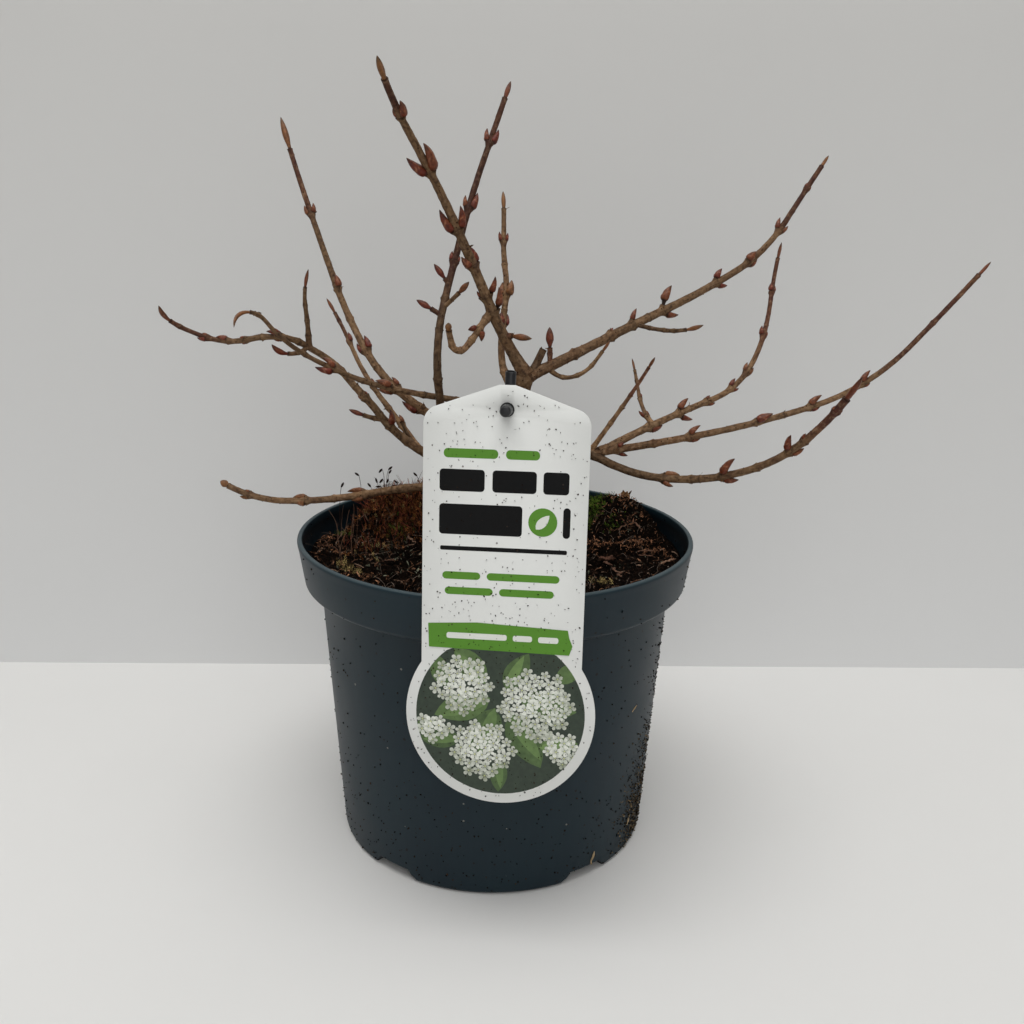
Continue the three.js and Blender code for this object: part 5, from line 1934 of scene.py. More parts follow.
# Where the rings of a capsule stand along its axis, and their radii.
CAPSULE_REACH = (-0.2, 0.3, 0.9, 1.7, 2.3, 2.7)
CAPSULE_RADII = (0.14, 0.42, 0.6, 0.58, 0.4, 0.15)

# Place, lean to the right and rise of each bare stalk.
MOSS_WISPS = ((-50, 58, -5, 9), (-46, 60, 5, 11), (-45, 61, -2, 7))


@dataclass
class Compost:
    """The fill: peat with splinters and fibres, cushions of moss, straws and spore stalks."""

    level: float = 138.8
    collar: float = 16.0
    edge_radius: float = 88.5
    outer_radius: float = 89.6
    edge_drop: float = 1.5
    edge_width: float = 6.0
    edge_rise: float = 3.0
    ceiling: float = 154.0  # how high a mound may reach
    floor: float = 8.0
    play: float = 0.3  # between the fill and the wall of the pot
    growth_start: float = 9.0  # radii between which moss and litter lie
    growth_full: float = 86.0
    growth_end: float = 88.6
    stalk_limits: tuple[float, float] = (49.0, 58.0)  # red stalks thin out between these depths
    side_heights: Point = (129.0, 90.0, 50.0)
    columns: int = 288
    ring_gap: float = 0.9  # between the rings of the mesh
    clump: tuple[float, float] = (69.0, 55.0)  # where the clump of bark stands
    clump_pieces: int = 40
    mounds: tuple[Mound, ...] = (
        Mound(-49, 57, 14.0, 21, 24),
        Mound(-22, 72, 9.0, 22, 20),
        Mound(-83, 31, -6.0, 9, 9),
        Mound(69, 51, 12.5, 17, 20),
        Mound(40, 72, 6.0, 20, 18),
        Mound(62, 6, 2.0, 26, 9),
        Mound(-30, -8, -2.0, 14, 20),
        Mound(42, -22, -2.5, 14, 18),
    )
    russet: tuple[Patch, ...] = (
        Patch(-50, 44, 15, 1.0), Patch(-34, 58, 18, 0.9), Patch(-60, 44, 9, 0.7), Patch(-14, 68, 14, 0.6),
        Patch(-66, 4, 10, 0.18), Patch(-44, 24, 12, 0.2),
    )
    green: tuple[Patch, ...] = (
        Patch(-77, 18, 2.8, 1.0), Patch(-50, 26, 7, 0.25), Patch(53, 60, 7, 1.0), Patch(51, 48, 6, 1.0),
        Patch(44, 40, 6, 0.5), Patch(6, 68, 10, 0.7), Patch(60, 32, 5, 0.3),
    )
    yellow: tuple[Patch, ...] = (
        Patch(-70, -33, 2.6, 1.0), Patch(-66, -36, 2.6, 0.9), Patch(-62, -39.5, 2.0, 0.6),
        Patch(48, -47, 3.2, 0.7), Patch(-58, 50, 11, 0.14), Patch(10, -66, 6, 0.5), Patch(-60, 0, 9, 0.05),
    )
    olive: tuple[Patch, ...] = (
        Patch(-50, 0, 14, 0.8), Patch(-38, -24, 12, 0.6), Patch(-56, -28, 10, 0.5), Patch(54, -34, 14, 0.3),
        Patch(64, 36, 14, 0.4), Patch(66, -18, 10, 0.5),
    )
    # Patches where fewer pale pieces lie and the dark peat shows; the two broad ones in front, behind the
    # label, are painted shade of the label.
    dark: tuple[Patch, ...] = (
        Patch(-34, -16, 16, 0.7), Patch(-88, 20, 8, 0.7), Patch(52, -30, 14, 0.6), Patch(84, 20, 10, 0.7),
        Patch(-52, -52, 10, 0.4),
    )
    litter: tuple[Patch, ...] = (
        Patch(33, 18, 6, 0.8), Patch(42, 16, 5.5, 1.0), Patch(51, 11, 5.5, 1.0), Patch(61, 9.5, 5.5, 1.0),
        Patch(70, 4, 5, 1.0), Patch(77, -2, 4.5, 0.8), Patch(82, -10, 4, 0.4), Patch(70, 34, 9, 0.22),
        Patch(68, 52, 7, 0.5), Patch(62, 44, 8, 0.15), Patch(-85, 10, 5, 0.9), Patch(-82, 0, 5, 0.5),
        Patch(-76, -14, 6, 0.3), Patch(0, -60, 16, 0.5), Patch(-60, -50, 10, 0.25), Patch(20, 60, 12, 0.4),
    )

    def height(self, x: np.ndarray, y: np.ndarray) -> np.ndarray:
        """Height of the surface: level at the stem, mounded with moss towards the back."""
        radius = np.hypot(x, y)
        height = self.level + 0.5 * np.sin(x / 9 + 1) * np.cos(y / 7)
        height = height + self.edge_rise * smoothstep(56, 84, radius)
        for mound in self.mounds:
            height = height + mound.height(x, y)
        edge = np.maximum(0, radius - self.edge_radius + self.edge_width) / self.edge_width
        height = np.minimum(height - self.edge_drop * edge**2, self.ceiling)
        flat = smoothstep(self.collar, self.collar + 14, radius)
        return STEM_FOOT[2] * (1 - flat) + height * flat

    def surface(self) -> Shell:
        """The body of the fill, with lumps on its top and shares of moss at its points."""
        radii = np.concatenate(
            [[0.01], np.arange(1.2, self.outer_radius, self.ring_gap), [self.outer_radius]]
        )
        angles = np.arange(self.columns) * math.tau / self.columns
        radius, angle = np.meshgrid(radii, angles, indexing="ij")
        x, y = radius * np.cos(angle), radius * np.sin(angle)
        spots = np.stack([x.ravel(), y.ravel()], axis=-1)
        clods = np.array([relief((a, b, 0.0), 11.0, 1) for a, b in spots]).reshape(x.shape)
        lumps = np.array([relief((a, b, 9.0), 3.4, 3) for a, b in spots]).reshape(x.shape)
        broken = smoothstep(9, 24, radius) * (1 - 0.6 * smoothstep(82, 89, radius))
        z = self.height(x, y) + broken * (2.2 * clods + 1.5 * lumps - 0.8)
        top = np.stack([x, y, z], axis=-1).reshape(-1, 3)
        pot = NurseryPot()
        lower = [
            (pot.inner_radius(height) - self.play, height) for height in (*self.side_heights, self.floor)
        ]
        lower = [(self.outer_radius, 132.0), *lower, (0.01, self.floor)]
        rings = [
            [reach * math.cos(a), reach * math.sin(a), height] for reach, height in lower for a in angles
        ]
        points = np.vstack([top, np.array(rings)])
        inner = smoothstep(self.growth_end, self.growth_full, radius) * (radius > self.growth_start)
        masks = {
            name: sum(patch.share(x, y) for patch in getattr(self, name)) * inner
            for name in ("russet", "green", "yellow", "olive", "litter")
        }
        masks["stalks"] = masks["russet"] * (1 - smoothstep(*self.stalk_limits, y))
        # Fewer pale pieces lie in the dark patches; in front this is painted shade of the label.
        masks["bare"] = inner * (1 - sum(patch.share(x, y) for patch in self.dark))
        hidden = np.zeros(len(rings))
        shell = Shell()
        values = {name: np.concatenate([np.clip(mask, 0, 1).ravel(), hidden]) for name, mask in masks.items()}
        shell.add(
            points, [face[:, ::-1] for face in turned_faces(len(radii) + len(lower), self.columns)],
            **values,
        )
        return shell

    def build(self) -> None:
        """Builds the fill and everything that lies or grows on it."""
        ground = self.surface().build("compost_fill", sharp=80)
        heal(ground)
        seat(ground, EarthFinish().make(), ["compost"])
        for cover in COVERS:
            shape = make_morsel(cover.kind, cover.seed)
            tints = (tone(*cover.dark), tone(*cover.light))
            finish = LooseFinish(f"{cover.name}_tint", *tints, gloom=cover.gloom).make()
            cover.over(ground, shape, finish, "compost")
            bpy.data.objects.remove(shape)
        self.build_straws()
        self.build_clump()
        self.build_spore_stalks()

    def foot(self, x: float, y: float) -> np.ndarray:
        """A point just under the surface."""
        return np.array([x, y, float(self.height(np.array(x), np.array(y))) - 0.8])

    def build_straws(self) -> None:
        """Builds the straws that stand at the left and the sticks that lie about the surface."""
        deal = np.random.default_rng(41)
        shell = Shell()
        for straw in STRAWS:
            shares = np.linspace(0, 1, 7)[:, None]
            step = np.array([straw.right, straw.back, straw.rise])
            sag = np.array([deal.normal(0, 0.06), deal.normal(0, 0.06), -0.05]) * np.linalg.norm(step)
            line = self.foot(straw.x, straw.y) + [0, 0, 1.8 * (straw.rise < 4)] + step * shares
            line = line + sag * 4 * (shares**2 - shares) + deal.normal(0, 0.1, (7, 3))
            add_strand(shell, line, straw.radius, straw.radius * 0.6, 5, tint=straw.tint)
        for stick in STICKS:
            step = np.array([stick.right, stick.back, stick.rise])
            length = float(np.linalg.norm(step))
            piece = Shell()
            bend = deal.normal(0, 0.5)
            Sliver(length, 2 * stick.radius, 1.3 * stick.radius, bend, 70.0, 5, 9).add_to(piece, deal)
            turn = Vector((1, 0, 0)).rotation_difference(Vector(step)).to_matrix()
            shell.lay(piece, turn, self.foot(stick.x, stick.y) + step / 2 + [0, 0, 1.6], tint=stick.tint)
        finish = LooseFinish("straw_tint", tone(50, 22, 17), tone(158, 126, 104), gloom=1.3).make()
        seat(shell.build("dead_straws"), finish)

    def build_clump(self) -> None:
        """Builds the broken clump of fibrous bark that pokes above the rim."""
        deal = np.random.default_rng(43)
        shell = Shell()
        for number in range(self.clump_pieces):
            piece = Shell()
            Sliver(deal.uniform(2.5, 4.5), deal.uniform(1.2, 2.4), 0.9, 0.2, 60.0, 5, 6).add_to(piece, deal)
            way = Vector((deal.normal(0, 0.22), deal.normal(0, 0.2), 1.0))
            turn = Vector((1, 0, 0)).rotation_difference(way).to_matrix()
            spread = 2.1 if number % 5 else 3.0
            middle = self.foot(*self.clump) + [
                deal.uniform(-spread, spread), deal.normal(0, 0.8), deal.uniform(0.0, 2.4)
            ]
            shell.lay(piece, turn, middle, tint=deal.uniform(0, 0.9))
        for right, back, rise in ((-2.0, 0.3, 4.4), (2.6, -0.2, 4.2)):
            line = self.foot(*self.clump) + np.outer([0.5, 0.8, 1.0], [right, back, rise]) + [0, 0, 0.6]
            add_strand(shell, line, 0.7, 0.15, 5, tint=0.35)
        finish = LooseFinish("clump_tint", tone(26, 16, 10), tone(150, 112, 78), gloom=1.5).make()
        seat(shell.build("bark_clump"), finish)

    def build_spore_stalks(self) -> None:
        """Builds the dark wiry stalks with nodding capsules that rise from the moss cushions."""
        shell = Shell()
        for stalk in SPORE_STALKS:
            turn, droop = math.radians(stalk.nod), math.radians(stalk.droop)
            level = np.array([math.cos(turn), math.sin(turn), 0.0])
            ahead = level * math.cos(droop) - np.array([0, 0, math.sin(droop)])
            shares = np.linspace(0, 1, 6)[:, None]
            rise = np.array([0, 0, stalk.rise + 0.8])
            line = self.foot(stalk.x, stalk.y) + rise * shares + level * 1.1 * shares**5
            add_strand(shell, line, 0.16, 0.14, 4, tint=0.3)
            spots = line[-1] + np.outer(CAPSULE_REACH, ahead)
            for number, (foot, tip) in enumerate(pairwise(CAPSULE_RADII)):
                add_strand(shell, spots[number : number + 2], foot, tip, 6, tint=0.0)
        for x, y, right, rise in MOSS_WISPS:
            line = self.foot(x, y) + np.linspace(0, 1, 5)[:, None] * np.array([right, 0, rise])
            add_strand(shell, line, 0.16, 0.06, 4, tint=0.5)
        finish = LooseFinish("stalk_tint", tone(5, 4, 4), tone(84, 60, 50), 0.5).make()
        seat(shell.build("spore_stalks"), finish)


# ---------------------------------------------------------------- the label and its stake


@dataclass
class LabelFrame:
    """The label's own frame: u across it, v up it from where it crosses the rim, d out of it."""

    turn: float = 5.0
    lean: float = 5.0
    sideways: float = 13.0
    stand_off: float = 95.3
    rim_height: float = 150.0

    def matrix(self) -> np.ndarray:
        """Columns u, v, d and the origin."""
        turn, lean = math.radians(self.turn), math.radians(self.lean)
        outward = np.array([-math.sin(turn), -math.cos(turn), 0.0])
        across = np.array([math.cos(turn), -math.sin(turn), 0.0])
        origin = across * self.sideways + outward * self.stand_off + np.array([0, 0, self.rim_height])
        up = np.array([0, 0, math.cos(lean)]) - outward * math.sin(lean)
        return np.column_stack([across, up, np.cross(across, up), origin])

    def place(self, flat: np.ndarray, depth: float | np.ndarray) -> np.ndarray:
        """Turns (n, 2) places on the label, at a depth above its back, into the part's frame."""
        frame_matrix = self.matrix()
        full = np.column_stack([flat, np.broadcast_to(depth, len(flat))])
        return full @ frame_matrix[:, :3].T + frame_matrix[:, 3]


def arc(centre: tuple[float, float], radius: float, start: float, end: float, steps: int) -> np.ndarray:
    """Points along an arc, in degrees from +u towards +v."""
    angles = np.radians(np.linspace(start, end, steps))
    return np.column_stack([centre[0] + radius * np.cos(angles), centre[1] + radius * np.sin(angles)])


def rounded_bar(left: float, right: float, low: float, high: float, corner: float) -> np.ndarray:
    """The outline of a bar with rounded corners."""
    corner = min(corner, (high - low) / 2)
    spots = (
        (right - corner, low + corner, -90), (right - corner, high - corner, 0),
        (left + corner, high - corner, 90), (left + corner, low + corner, 180),
    )
    return np.vstack([arc((u, v), corner, start, start + 90, 5) for u, v, start in spots])


# The print: left, right, lower and upper edge of each bar, and the corners of the ragged band.
GREEN_BARS = (
    (-24, -3, 56.6, 60.2), (0, 13, 56.6, 60.2), (-24, -9, 8.6, 11.6), (-6.5, 22, 8.6, 11.6),
    (-23, -4, 2.4, 5.4), (-1.5, 20, 2.4, 5.4),
)
BLACK_BARS = (
    (-25.5, -8, 43.6, 52.2), (-5, 12, 43.6, 52.2), (14.6, 24.5, 43.6, 52.2), (-25.5, 6.8, 26.6, 38.6),
    (22.6, 25.4, 26.6, 38.6),
)
RULE_BAR = (-25, 24.5, 20.2, 21.9)
WHITE_BARS = ((-22, 2, -15.6, -13.2), (4.4, 12, -15.7, -13.3), (14.4, 22.4, -15.8, -13.4))
BAND = (
    (-29, -19.6), (-29.4, -9.8), (-10, -8.7), (26.0, -10.2), (26.6, -13.2), (28.0, -16.6), (26.8, -20.4),
    (0, -20.0),
)

# The picture: foot, angle and length of each leaf, and place, radius and flowers of each head.
LEAVES = (
    (-4, -40, 200, 24), (-2, -44, 250, 25), (4, -46, 300, 26), (8, -40, 350, 23), (2, -36, 60, 18),
    (-6, -34, 130, 20), (-16, -58, 180, 17), (16, -60, 10, 16), (-22, -36, 110, 15), (22, -32, 40, 14),
    (0, -66, 270, 14), (-26, -50, 215, 12),
)
HEADS = (
    (-15.5, -35, 11.5, 34), (14, -42, 14.5, 52), (-7, -62, 12.0, 38), (25, -60, 7.0, 14),
    (-27, -54, 6.0, 10),
)
PETAL = ((0.1, 0.0), (0.45, -0.3), (0.85, -0.34), (1.05, -0.12), (1.05, 0.12), (0.85, 0.34), (0.45, 0.3))
PETAL_SHADE = (0.42, 0.2, 0.05, 0.0, 0.0, 0.05, 0.2)


@dataclass
class HangLabel:
    """A hang label with a pitched top and a round foot, printed with plain shapes and a picture."""

    frame: LabelFrame = field(default_factory=LabelFrame)
    thickness: float = 0.8
    half_width: float = 32.0
    apex_height: float = 84.8
    apex_half_width: float = 3.0
    pitch: float = 19.5
    shoulder_radius: float = 7.0
    foot_centre: float = -46.8
    foot_radius: float = 38.1
    hole_height: float = 75.5
    hole_radius: float = 2.75
    hole_sides: int = 32
    picture_radius: float = 34.0
    picture_top: float = -19.8
    ink: float = 0.03  # how proud of the card the print stands
    edge: float = 0.14
    sharp: float = 60.0  # degrees

    def outline(self, inset: float = 0.0) -> np.ndarray:
        """The label's outline, `inset` millimetres in from its edge, turning left."""
        half, r, pitch = self.half_width, self.shoulder_radius, math.radians(self.pitch)
        neck = self.foot_centre + math.sqrt(self.foot_radius**2 - half**2)
        start = math.degrees(math.asin((neck - self.foot_centre) / self.foot_radius))
        run = half - r + r * math.sin(pitch) - self.apex_half_width
        shoulder = self.apex_height - run * math.tan(pitch) - r * math.cos(pitch)
        foot, top = (0.0, self.foot_centre), self.apex_height - inset
        parts = [
            arc(foot, self.foot_radius - inset, 180 - start, 360 + start, 64),
            arc((half - r, shoulder), r - inset, 0, 90 - self.pitch, 10),
            [[self.apex_half_width, top], [-self.apex_half_width, top]],
            arc((r - half, shoulder), r - inset, 90 + self.pitch, 180, 10),
        ]
        points = np.vstack(parts)
        points[:, 0] = np.where(
            points[:, 1] > neck, np.clip(points[:, 0], inset - half, half - inset), points[:, 0]
        )
        return points

    def card(self) -> Shell:
        """The card: four loops of points round its outline and four round its hole."""
        depths = (
            (0.0, self.edge), (self.edge, 0.0), (self.thickness - self.edge, 0.0),
            (self.thickness, self.edge),
        )
        loops, holes = [], []
        turn = 360 - 360 / self.hole_sides
        for depth, inset in depths:
            loops.append(self.frame.place(self.outline(inset), depth))
            ring = arc((0, self.hole_height), self.hole_radius + inset, 0, turn, self.hole_sides)
            holes.append(self.frame.place(ring, depth))
        shell = Shell()
        for rings, inward in ((loops, False), (holes, True)):
            count = len(rings[0])
            here = np.arange(count)
            ahead = (here + 1) % count
            if inward:
                here, ahead = ahead, here
            band = np.stack([here, ahead, ahead + count, here + count], axis=-1)
            shell.add(np.vstack(rings), [band + row * count for row in range(len(rings) - 1)])
        return shell

    def build_card(self) -> None:
        """Builds the card and closes its front and back round the hole."""
        card = self.card().build("label_card", sharp=self.sharp)
        work = bmesh.new()
        work.from_mesh(card.data)
        open_edges = [edge for edge in work.edges if edge.is_boundary]
        normal = Vector(self.frame.matrix()[:, 2])
        origin = Vector(self.frame.matrix()[:, 3]) * MM
        for front in (True, False):
            middle = self.thickness * MM / 2
            loop = [
                edge for edge in open_edges if ((edge.verts[0].co - origin).dot(normal) > middle) is front
            ]
            bmesh.ops.triangle_fill(work, use_beauty=True, use_dissolve=False, edges=loop)
        bmesh.ops.recalc_face_normals(work, faces=work.faces)
        for face in work.faces:
            face.smooth = True
        work.to_mesh(card.data)
        work.free()
        card.data.set_sharp_from_angle(angle=math.radians(self.sharp))
        white = CardFinish("label_card_white", tone(226, 227, 223), speck_share=0.032).make()
        seat(card, white, ["label"])

    def print_shape(self, shell: Shell, outline: np.ndarray, level: float = 0.0, **values: float) -> None:
        """Adds a flat printed shape with a thin edge.

        Args:
            shell: What it is added to.
            outline: Its outline on the label, turning left and seen whole from its middle.
            level: How far it stands above the first print.
            values: Values kept at its points.
        """
        top = self.thickness + self.ink + level
        count = len(outline)
        middle = outline.mean(axis=0)[None]
        points = np.vstack([
            self.frame.place(outline, top), self.frame.place(outline, top - self.ink * 0.9),
            self.frame.place(middle, top), self.frame.place(middle, top - self.ink * 0.9),
        ])
        shell.add(points, tube_faces(2, count), **values)

    def build_print(self) -> None:
        """Builds the plain bars, the round badge and the green band."""
        green, black, white = Shell(), Shell(), Shell()
        self.print_shape(white, self.leaf((12.2, 29.8), 48, 7.6, 3.6), 0.05)
        for shell, bars, corner, level in (
            (green, GREEN_BARS, 1.6, 0.0),
            (black, BLACK_BARS, 1.4, 0.0),
            (black, (RULE_BAR,), 0.6, 0.0),
            (white, WHITE_BARS, 0.9, 0.19),
        ):
            for bar in bars:
                self.print_shape(shell, rounded_bar(*bar, corner), level)
        self.print_shape(green, arc((14.8, 32.6), 5.6, 0, 348, 30), 0.02)
        self.print_shape(green, np.array(BAND)[::-1], 0.16)
        for shell, name, colour, share in (
            (green, "label_green", tone(92, 142, 52), 0.05),
            (black, "label_black", tone(15, 16, 17), 0.03),
            (white, "label_white", tone(228, 230, 222), 0.05),
        ):
            ink = CardFinish(f"{name}_ink", colour, speck_share=share).make()
            seat(shell.build(name, sharp=30), ink)

    @staticmethod
    def leaf(foot: tuple[float, float], turn: float, length: float, width: float) -> np.ndarray:
        """The outline of a pointed leaf that grows from its foot at an angle in degrees."""
        shares = np.linspace(0, 1, 9)
        half = width / 2 * np.sin(np.pi * shares**0.85) ** 0.8
        line = np.column_stack([shares * length, -half])
        back = np.column_stack([shares[-2:0:-1] * length, half[-2:0:-1]])
        flat = np.vstack([line, back])
        angle = math.radians(turn)
        spin = np.array([[math.cos(angle), -math.sin(angle)], [math.sin(angle), math.cos(angle)]])
        return flat @ spin.T + np.array(foot)

    def inside_picture(self, flat: np.ndarray) -> np.ndarray:
        """Draws points that lie outside the picture back to its edge."""
        centre = np.array([0.0, self.foot_centre])
        off = flat - centre
        reach = np.linalg.norm(off, axis=1)[:, None]
        drawn_in = off * self.picture_radius / np.maximum(reach, 1e-6)
        held = np.where(reach > self.picture_radius, drawn_in, off) + centre
        held[:, 1] = np.minimum(held[:, 1], self.picture_top)
        return held

    def build_picture(self) -> None:
        """Builds the picture: a leafy sprig with round heads of five-petalled flowers."""
        ground, leaves, petals, hearts = Shell(), Shell(), Shell(), Shell()
        disc = self.inside_picture(arc((0, self.foot_centre), self.picture_radius, 0, 355, 72))
        self.print_shape(ground, disc, shade=0.3)
        deal = np.random.default_rng(77)
        for number, (u, v, turn, length) in enumerate(LEAVES):
            width = length * 0.52
            level = 0.004 * number
            outline = self.inside_picture(self.leaf((u, v), turn, length, width))
            self.print_shape(leaves, outline, 0.02 + level, shade=float(deal.uniform(0.2, 0.6)))
            inner = self.inside_picture(self.leaf((u, v), turn + 4, length * 0.9, width * 0.42))
            self.print_shape(leaves, inner, 0.023 + level, shade=float(deal.uniform(0.5, 0.95)))
        number = 0
        for u, v, radius, count in HEADS:
            for flower in range(count):
                share = math.sqrt((count - flower - 0.5) / count)
                turn = flower * GOLDEN_ANGLE
                centre = np.array([u + radius * share * math.cos(turn), v + radius * share * math.sin(turn)])
                centre += deal.normal(0, 0.25, 2)
                light = 1.0 - 0.45 * share**2.5 - 0.18 * (math.sin(turn) * -share > 0.3)
                self.add_flower(
                    petals, hearts, centre, deal.uniform(1.9, 2.5), light, 0.09 + 0.0004 * number, deal
                )
                number += 1
        for shell, name, dark, light in (
            (ground, "picture_ground", tone(22, 34, 26), tone(66, 84, 62)),
            (leaves, "picture_leaves", tone(24, 48, 20), tone(112, 142, 78)),
            (petals, "picture_petals", tone(128, 136, 112), tone(236, 238, 228)),
            (hearts, "picture_hearts", tone(150, 160, 96), tone(206, 210, 150)),
        ):
            seat(shell.build(name, sharp=30), PictureFinish(f"{name}_ink", dark, light).make())

    def add_flower(
        self, petals: Shell, hearts: Shell, centre: np.ndarray, size: float, light: float, level: float,
        deal: np.random.Generator,
    ) -> None:
        """Adds a small flower of five rounded petals to the picture.

        Args:
            petals: What the petals are added to.
            hearts: What its middle is added to.
            centre: Its place on the label.
            size: Its radius.
            light: How bright it is.
            level: How high it stands in the print.
            deal: The random source.
        """
        start = deal.uniform(0, math.tau)
        top = self.thickness + self.ink + level
        for petal in range(5):
            turn = start + petal * math.tau / 5
            way = np.array([math.cos(turn), math.sin(turn)])
            across = np.array([-way[1], way[0]])
            flat = self.inside_picture(np.array([centre + size * (a * way + b * across) for a, b in PETAL]))
            shade = light - np.array(PETAL_SHADE)
            points = self.frame.place(flat, top + 0.0001 * petal)
            fan = [[0, k, k + 1] for k in range(1, 6)]
            petals.add(points, [fan], shade=np.clip(shade + deal.normal(0, 0.05), 0, 1))
        ring = self.inside_picture(centre + size * 0.16 * arc((0, 0), 1.0, 0, 300, 6))
        hearts.add(self.frame.place(ring, top + 0.0008), [[[0, k, k + 1] for k in range(1, 5)]], shade=light)

    def build_specks(self) -> None:
        """Strews flecks of soil over the front of the label."""
        middle = [[0.0, 10.0]]
        flat = np.vstack([self.outline(1.0), middle])
        count = len(flat) - 1
        fan = [[count, k, (k + 1) % count] for k in range(count)]
        low = 1 - smoothstep(-80, 20, flat[:, 1])
        shell = Shell()
        shell.add(self.frame.place(flat, self.thickness + 0.12), [fan], fleck=0.5 + 0.5 * low)
        sheet = shell.build("fleck_sheet")
        crumb = make_morsel(Morsel.CRUMB, 8)
        finish = LooseFinish("fleck_soil", tone(16, 12, 10), tone(66, 52, 42), gloom=1.4).make()
        Strewing("label_flecks", "fleck", 120000, 0.12, 0.95, 90, 61).over(sheet, crumb, finish, "label")
        bpy.data.objects.remove(crumb)
        bpy.data.objects.remove(sheet)

    def build(self) -> None:
        """Builds every piece of the label."""
        self.build_card()
        self.build_print()
        self.build_picture()
        self.build_specks()


@dataclass
class Stake:
    """The upright tube behind the label and the peg that the label hangs on."""

    radius: float = 2.1
    top: float = 239.0
    bottom: float = 96.0
    foot: tuple[float, float] = (3.0, -73.0)
    head: tuple[float, float] = (6.3, -83.5)
    peg_radius: float = 2.4
    peg_end: float = 2.1
    peg_start: float = 6.0  # behind the label
    peg_reach: float = 8.0
    shoulder: float = 3.6
    sides: int = 32

    def add_turned(
        self, shell: Shell, start: np.ndarray, end: np.ndarray, profile: Sequence[tuple[float, float]]
    ) -> None:
        """Adds a bar turned about the line from start to end.

        Args:
            shell: What it is added to.
            start: Where the profile's distance is 0.
            end: A point on the axis ahead.
            profile: Distances along the axis and radii there.
        """
        way = (end - start) / np.linalg.norm(end - start)
        side = np.cross(way, [1.0, 0.0, 0.0] if abs(way[0]) < 0.8 else [0.0, 1.0, 0.0])
        side /= np.linalg.norm(side)
        face = np.cross(side, way)
        angles = np.arange(self.sides) * math.tau / self.sides
        ring = np.cos(angles)[:, None] * side + np.sin(angles)[:, None] * face
        points = np.vstack([start + way * distance + ring * radius for distance, radius in profile])
        caps = np.vstack([start + way * profile[0][0], start + way * profile[-1][0]])
        shell.add(np.vstack([points, caps]), tube_faces(len(profile), self.sides))

    def build(self) -> None:
        """Builds the stake."""
        shell = Shell()
        foot = np.array([*self.foot, self.bottom])
        head = np.array([*self.head, self.top])
        length = float(np.linalg.norm(head - foot))
        r = self.radius
        shaft = [
            (0, 0.3), (4, r * 0.8), (8, r), (length - 16, r), (length - 15.6, r * 1.12),
            (length - 13.4, r * 1.12), (length - 13, r),
        ]
        rim = [
            (length - 0.5, r), (length - 0.12, r * 0.93), (length, r * 0.8), (length - 0.15, r * 0.66),
            (length - 2.4, r * 0.6),
        ]
        self.add_turned(shell, foot, head, [*shaft, *rim])
        label = HangLabel()
        hole = np.array([[0.0, label.hole_height]])
        back, plate, front = (label.frame.place(hole, depth)[0] for depth in (-self.peg_start, -0.3, 9.0))
        self.add_turned(
            shell, back, plate,
            [
                (-0.6, r * 0.7), (0, r), (3.8, self.shoulder * 0.8), (4.6, self.shoulder),
                (5.5, self.shoulder), (5.7, self.shoulder * 0.94),
            ],
        )
        reach = self.peg_start + label.thickness + self.peg_reach
        end = self.peg_end
        peg = [
            (-1.0, 1.6), (0, self.peg_radius), (6.2, self.peg_radius), (reach - 1.1, end * 1.04),
            (reach - 0.5, end * 0.97), (reach - 0.12, end * 0.8), (reach, end * 0.5),
        ]
        self.add_turned(shell, back, front, peg)
        piece = shell.build("label_stake_moulding", sharp=35)
        seat(piece, StakeFinish().make(), ["label_stake"])


# ---------------------------------------------------------------- stage, lights and camera


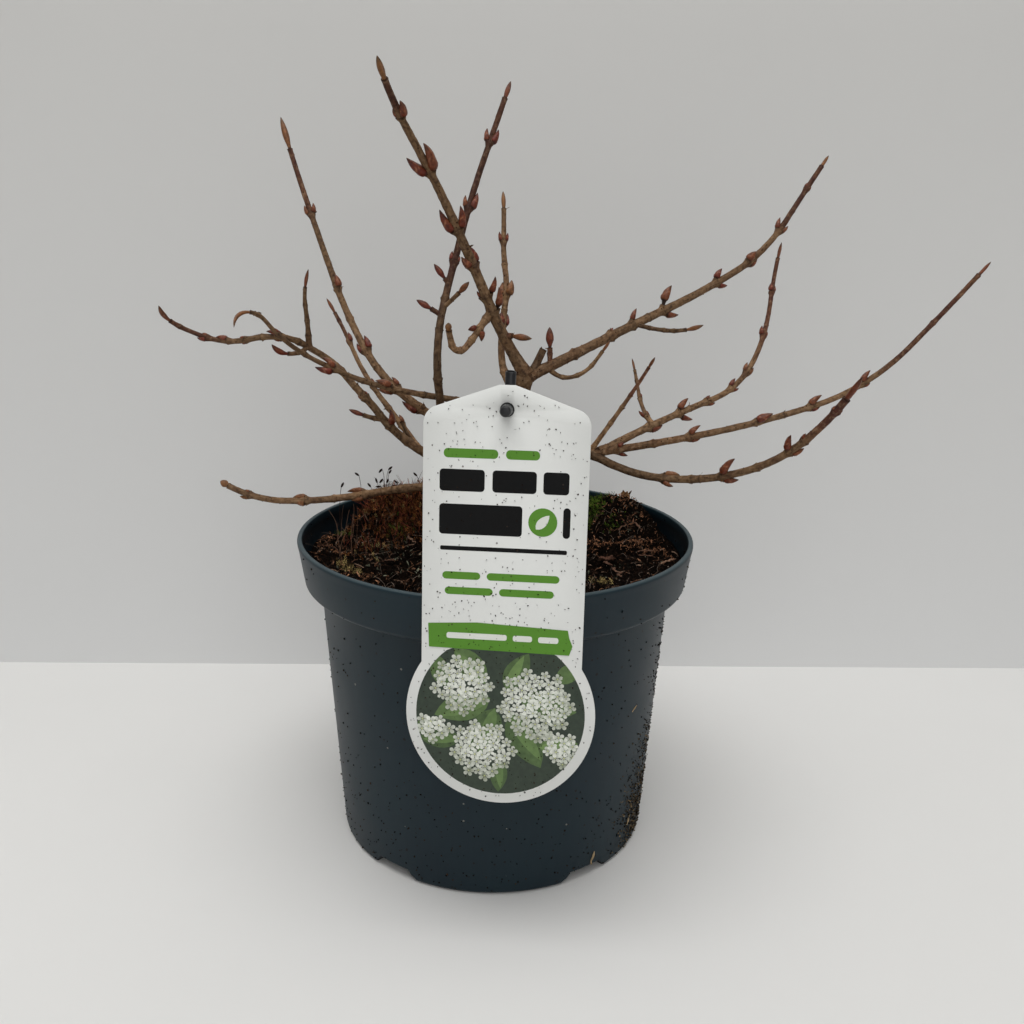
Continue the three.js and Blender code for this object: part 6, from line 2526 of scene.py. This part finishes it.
@dataclass
class Stage:
    """A pale table with a pale wall behind it, soft light, and the camera."""

    table: Colour = tone(231, 230, 227)
    wall: Colour = tone(228, 228, 227)
    # painted shade high on the wall
    wall_top_shade: Colour = tone(207, 206, 203)
    wall_distance: float = 170.0
    wall_turn: float = 1.54
    reach: float = 3000.0
    camera_place: Point = (7.65, -464.0, 292.8)
    camera_pitch: float = 16.07
    camera_roll: float = 1.0
    lens: float = 35.16
    sensor: float = 36.0
    sky: Colour = (0.97, 0.98, 1.0, 1.0)
    sky_strength: float = 0.33
    aim_height: float = 130.0
    sheet_points: int = 9  # along each side of the table top and the wall

    # Name, place, size in metres and power of each lamp.
    LAMPS: ClassVar[tuple[tuple[str, Point, float, float], ...]] = (
        ("overhead_light", (-100.0, -150.0, 1500.0), 1.3, 16.0),
        ("front_light", (250.0, -1500.0, 900.0), 1.4, 6.0),
    )

    def build_ground(self) -> None:
        """Builds the table top and the wall."""
        # The wall gets painted shade towards its top; the table is even.
        for name, colour, top_shade in (
            ("table_top", self.table, self.table), ("back_wall", self.wall, self.wall_top_shade)
        ):
            one_sided = colour != top_shade
            shell = Shell()
            count = self.sheet_points
            spots = np.linspace(-self.reach, self.reach, count)
            u, v = np.meshgrid(spots, spots)
            if one_sided:
                turn = math.radians(self.wall_turn)
                height = (v + self.reach) / 2
                points = np.stack(
                    [u * math.cos(turn), self.wall_distance + u * math.sin(turn), height], axis=-1
                )
            else:
                points = np.stack([u, v, np.zeros_like(u)], axis=-1)
            corner = np.arange(count * (count - 1)).reshape(-1, count)[:, :-1].ravel()
            quads = np.stack([corner, corner + 1, corner + count + 1, corner + count], axis=-1)
            shell.add(points.reshape(-1, 3), [quads])
            sheet = shell.build(name)
            sheet.data.materials.append(StageFinish(name, colour, top_shade, one_sided=one_sided).make())
            sheet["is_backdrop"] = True

    def build_lights(self) -> None:
        """Sets a soft light overhead, a wide one in front, and pale light from all round."""
        world = bpy.data.worlds.new("studio")
        world.use_nodes = True
        background = world.node_tree.nodes["Background"]
        background.inputs[0].default_value = self.sky
        background.inputs[1].default_value = self.sky_strength
        bpy.context.scene.world = world
        for name, place, size, power in self.LAMPS:
            lamp = bpy.data.lights.new(name, "AREA")
            lamp.shape = "SQUARE"
            lamp.size = size
            lamp.energy = power
            item = put_in_scene(bpy.data.objects.new(name, lamp))
            item.location = Vector(place) * MM
            aim = Vector((0, 0, self.aim_height)) * MM - item.location
            item.rotation_mode = "QUATERNION"
            item.rotation_quaternion = aim.to_track_quat("-Z", "Y")

    def build_camera(self) -> None:
        """Sets the camera, tipped down at the pot and rolled a little."""
        pitch, roll = math.radians(self.camera_pitch), math.radians(self.camera_roll)
        forward = Vector((0, math.cos(pitch), -math.sin(pitch)))
        right = Vector((1, 0, 0))
        up = right.cross(forward)
        turned_right = right * math.cos(roll) + up * math.sin(roll)
        turned_up = up * math.cos(roll) - right * math.sin(roll)
        lens = bpy.data.cameras.new("camera")
        lens.lens, lens.sensor_width = self.lens, self.sensor
        lens.clip_start, lens.clip_end = 0.01, 50.0
        item = put_in_scene(bpy.data.objects.new("camera", lens))
        axes = Matrix((turned_right, turned_up, -forward)).transposed().to_4x4()
        item.matrix_world = Matrix.Translation(Vector(self.camera_place) * MM) @ axes
        bpy.context.scene.camera = item

    def build(self) -> None:
        """Builds the whole stage."""
        bpy.context.scene.view_settings.view_transform = "Standard"
        self.build_ground()
        self.build_lights()
        self.build_camera()


def write_sizes() -> None:
    """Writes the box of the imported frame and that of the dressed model."""
    boxes = {"cad": CAD_BOX, "visual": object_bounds()}
    sizes = {name: [list(corner) for corner in box] for name, box in boxes.items()}
    for name, (low, high) in sizes.items():
        log.info(
            "%s box: %s to %s", name, [round(1000 * n, 1) for n in low], [round(1000 * n, 1) for n in high]
        )


def main() -> None:
    """Builds every part in order."""
    logging.basicConfig(level=logging.INFO, format="%(message)s")
    log.info("frame: %d nodes", len(frame["nodes"]))
    for part in (NurseryPot(), Compost(), HangLabel(), Stake(), Shrub(), Stage()):
        log.info("building %s", type(part).__name__)
        part.build()
    write_sizes()


if __name__ == "__main__":
    main()
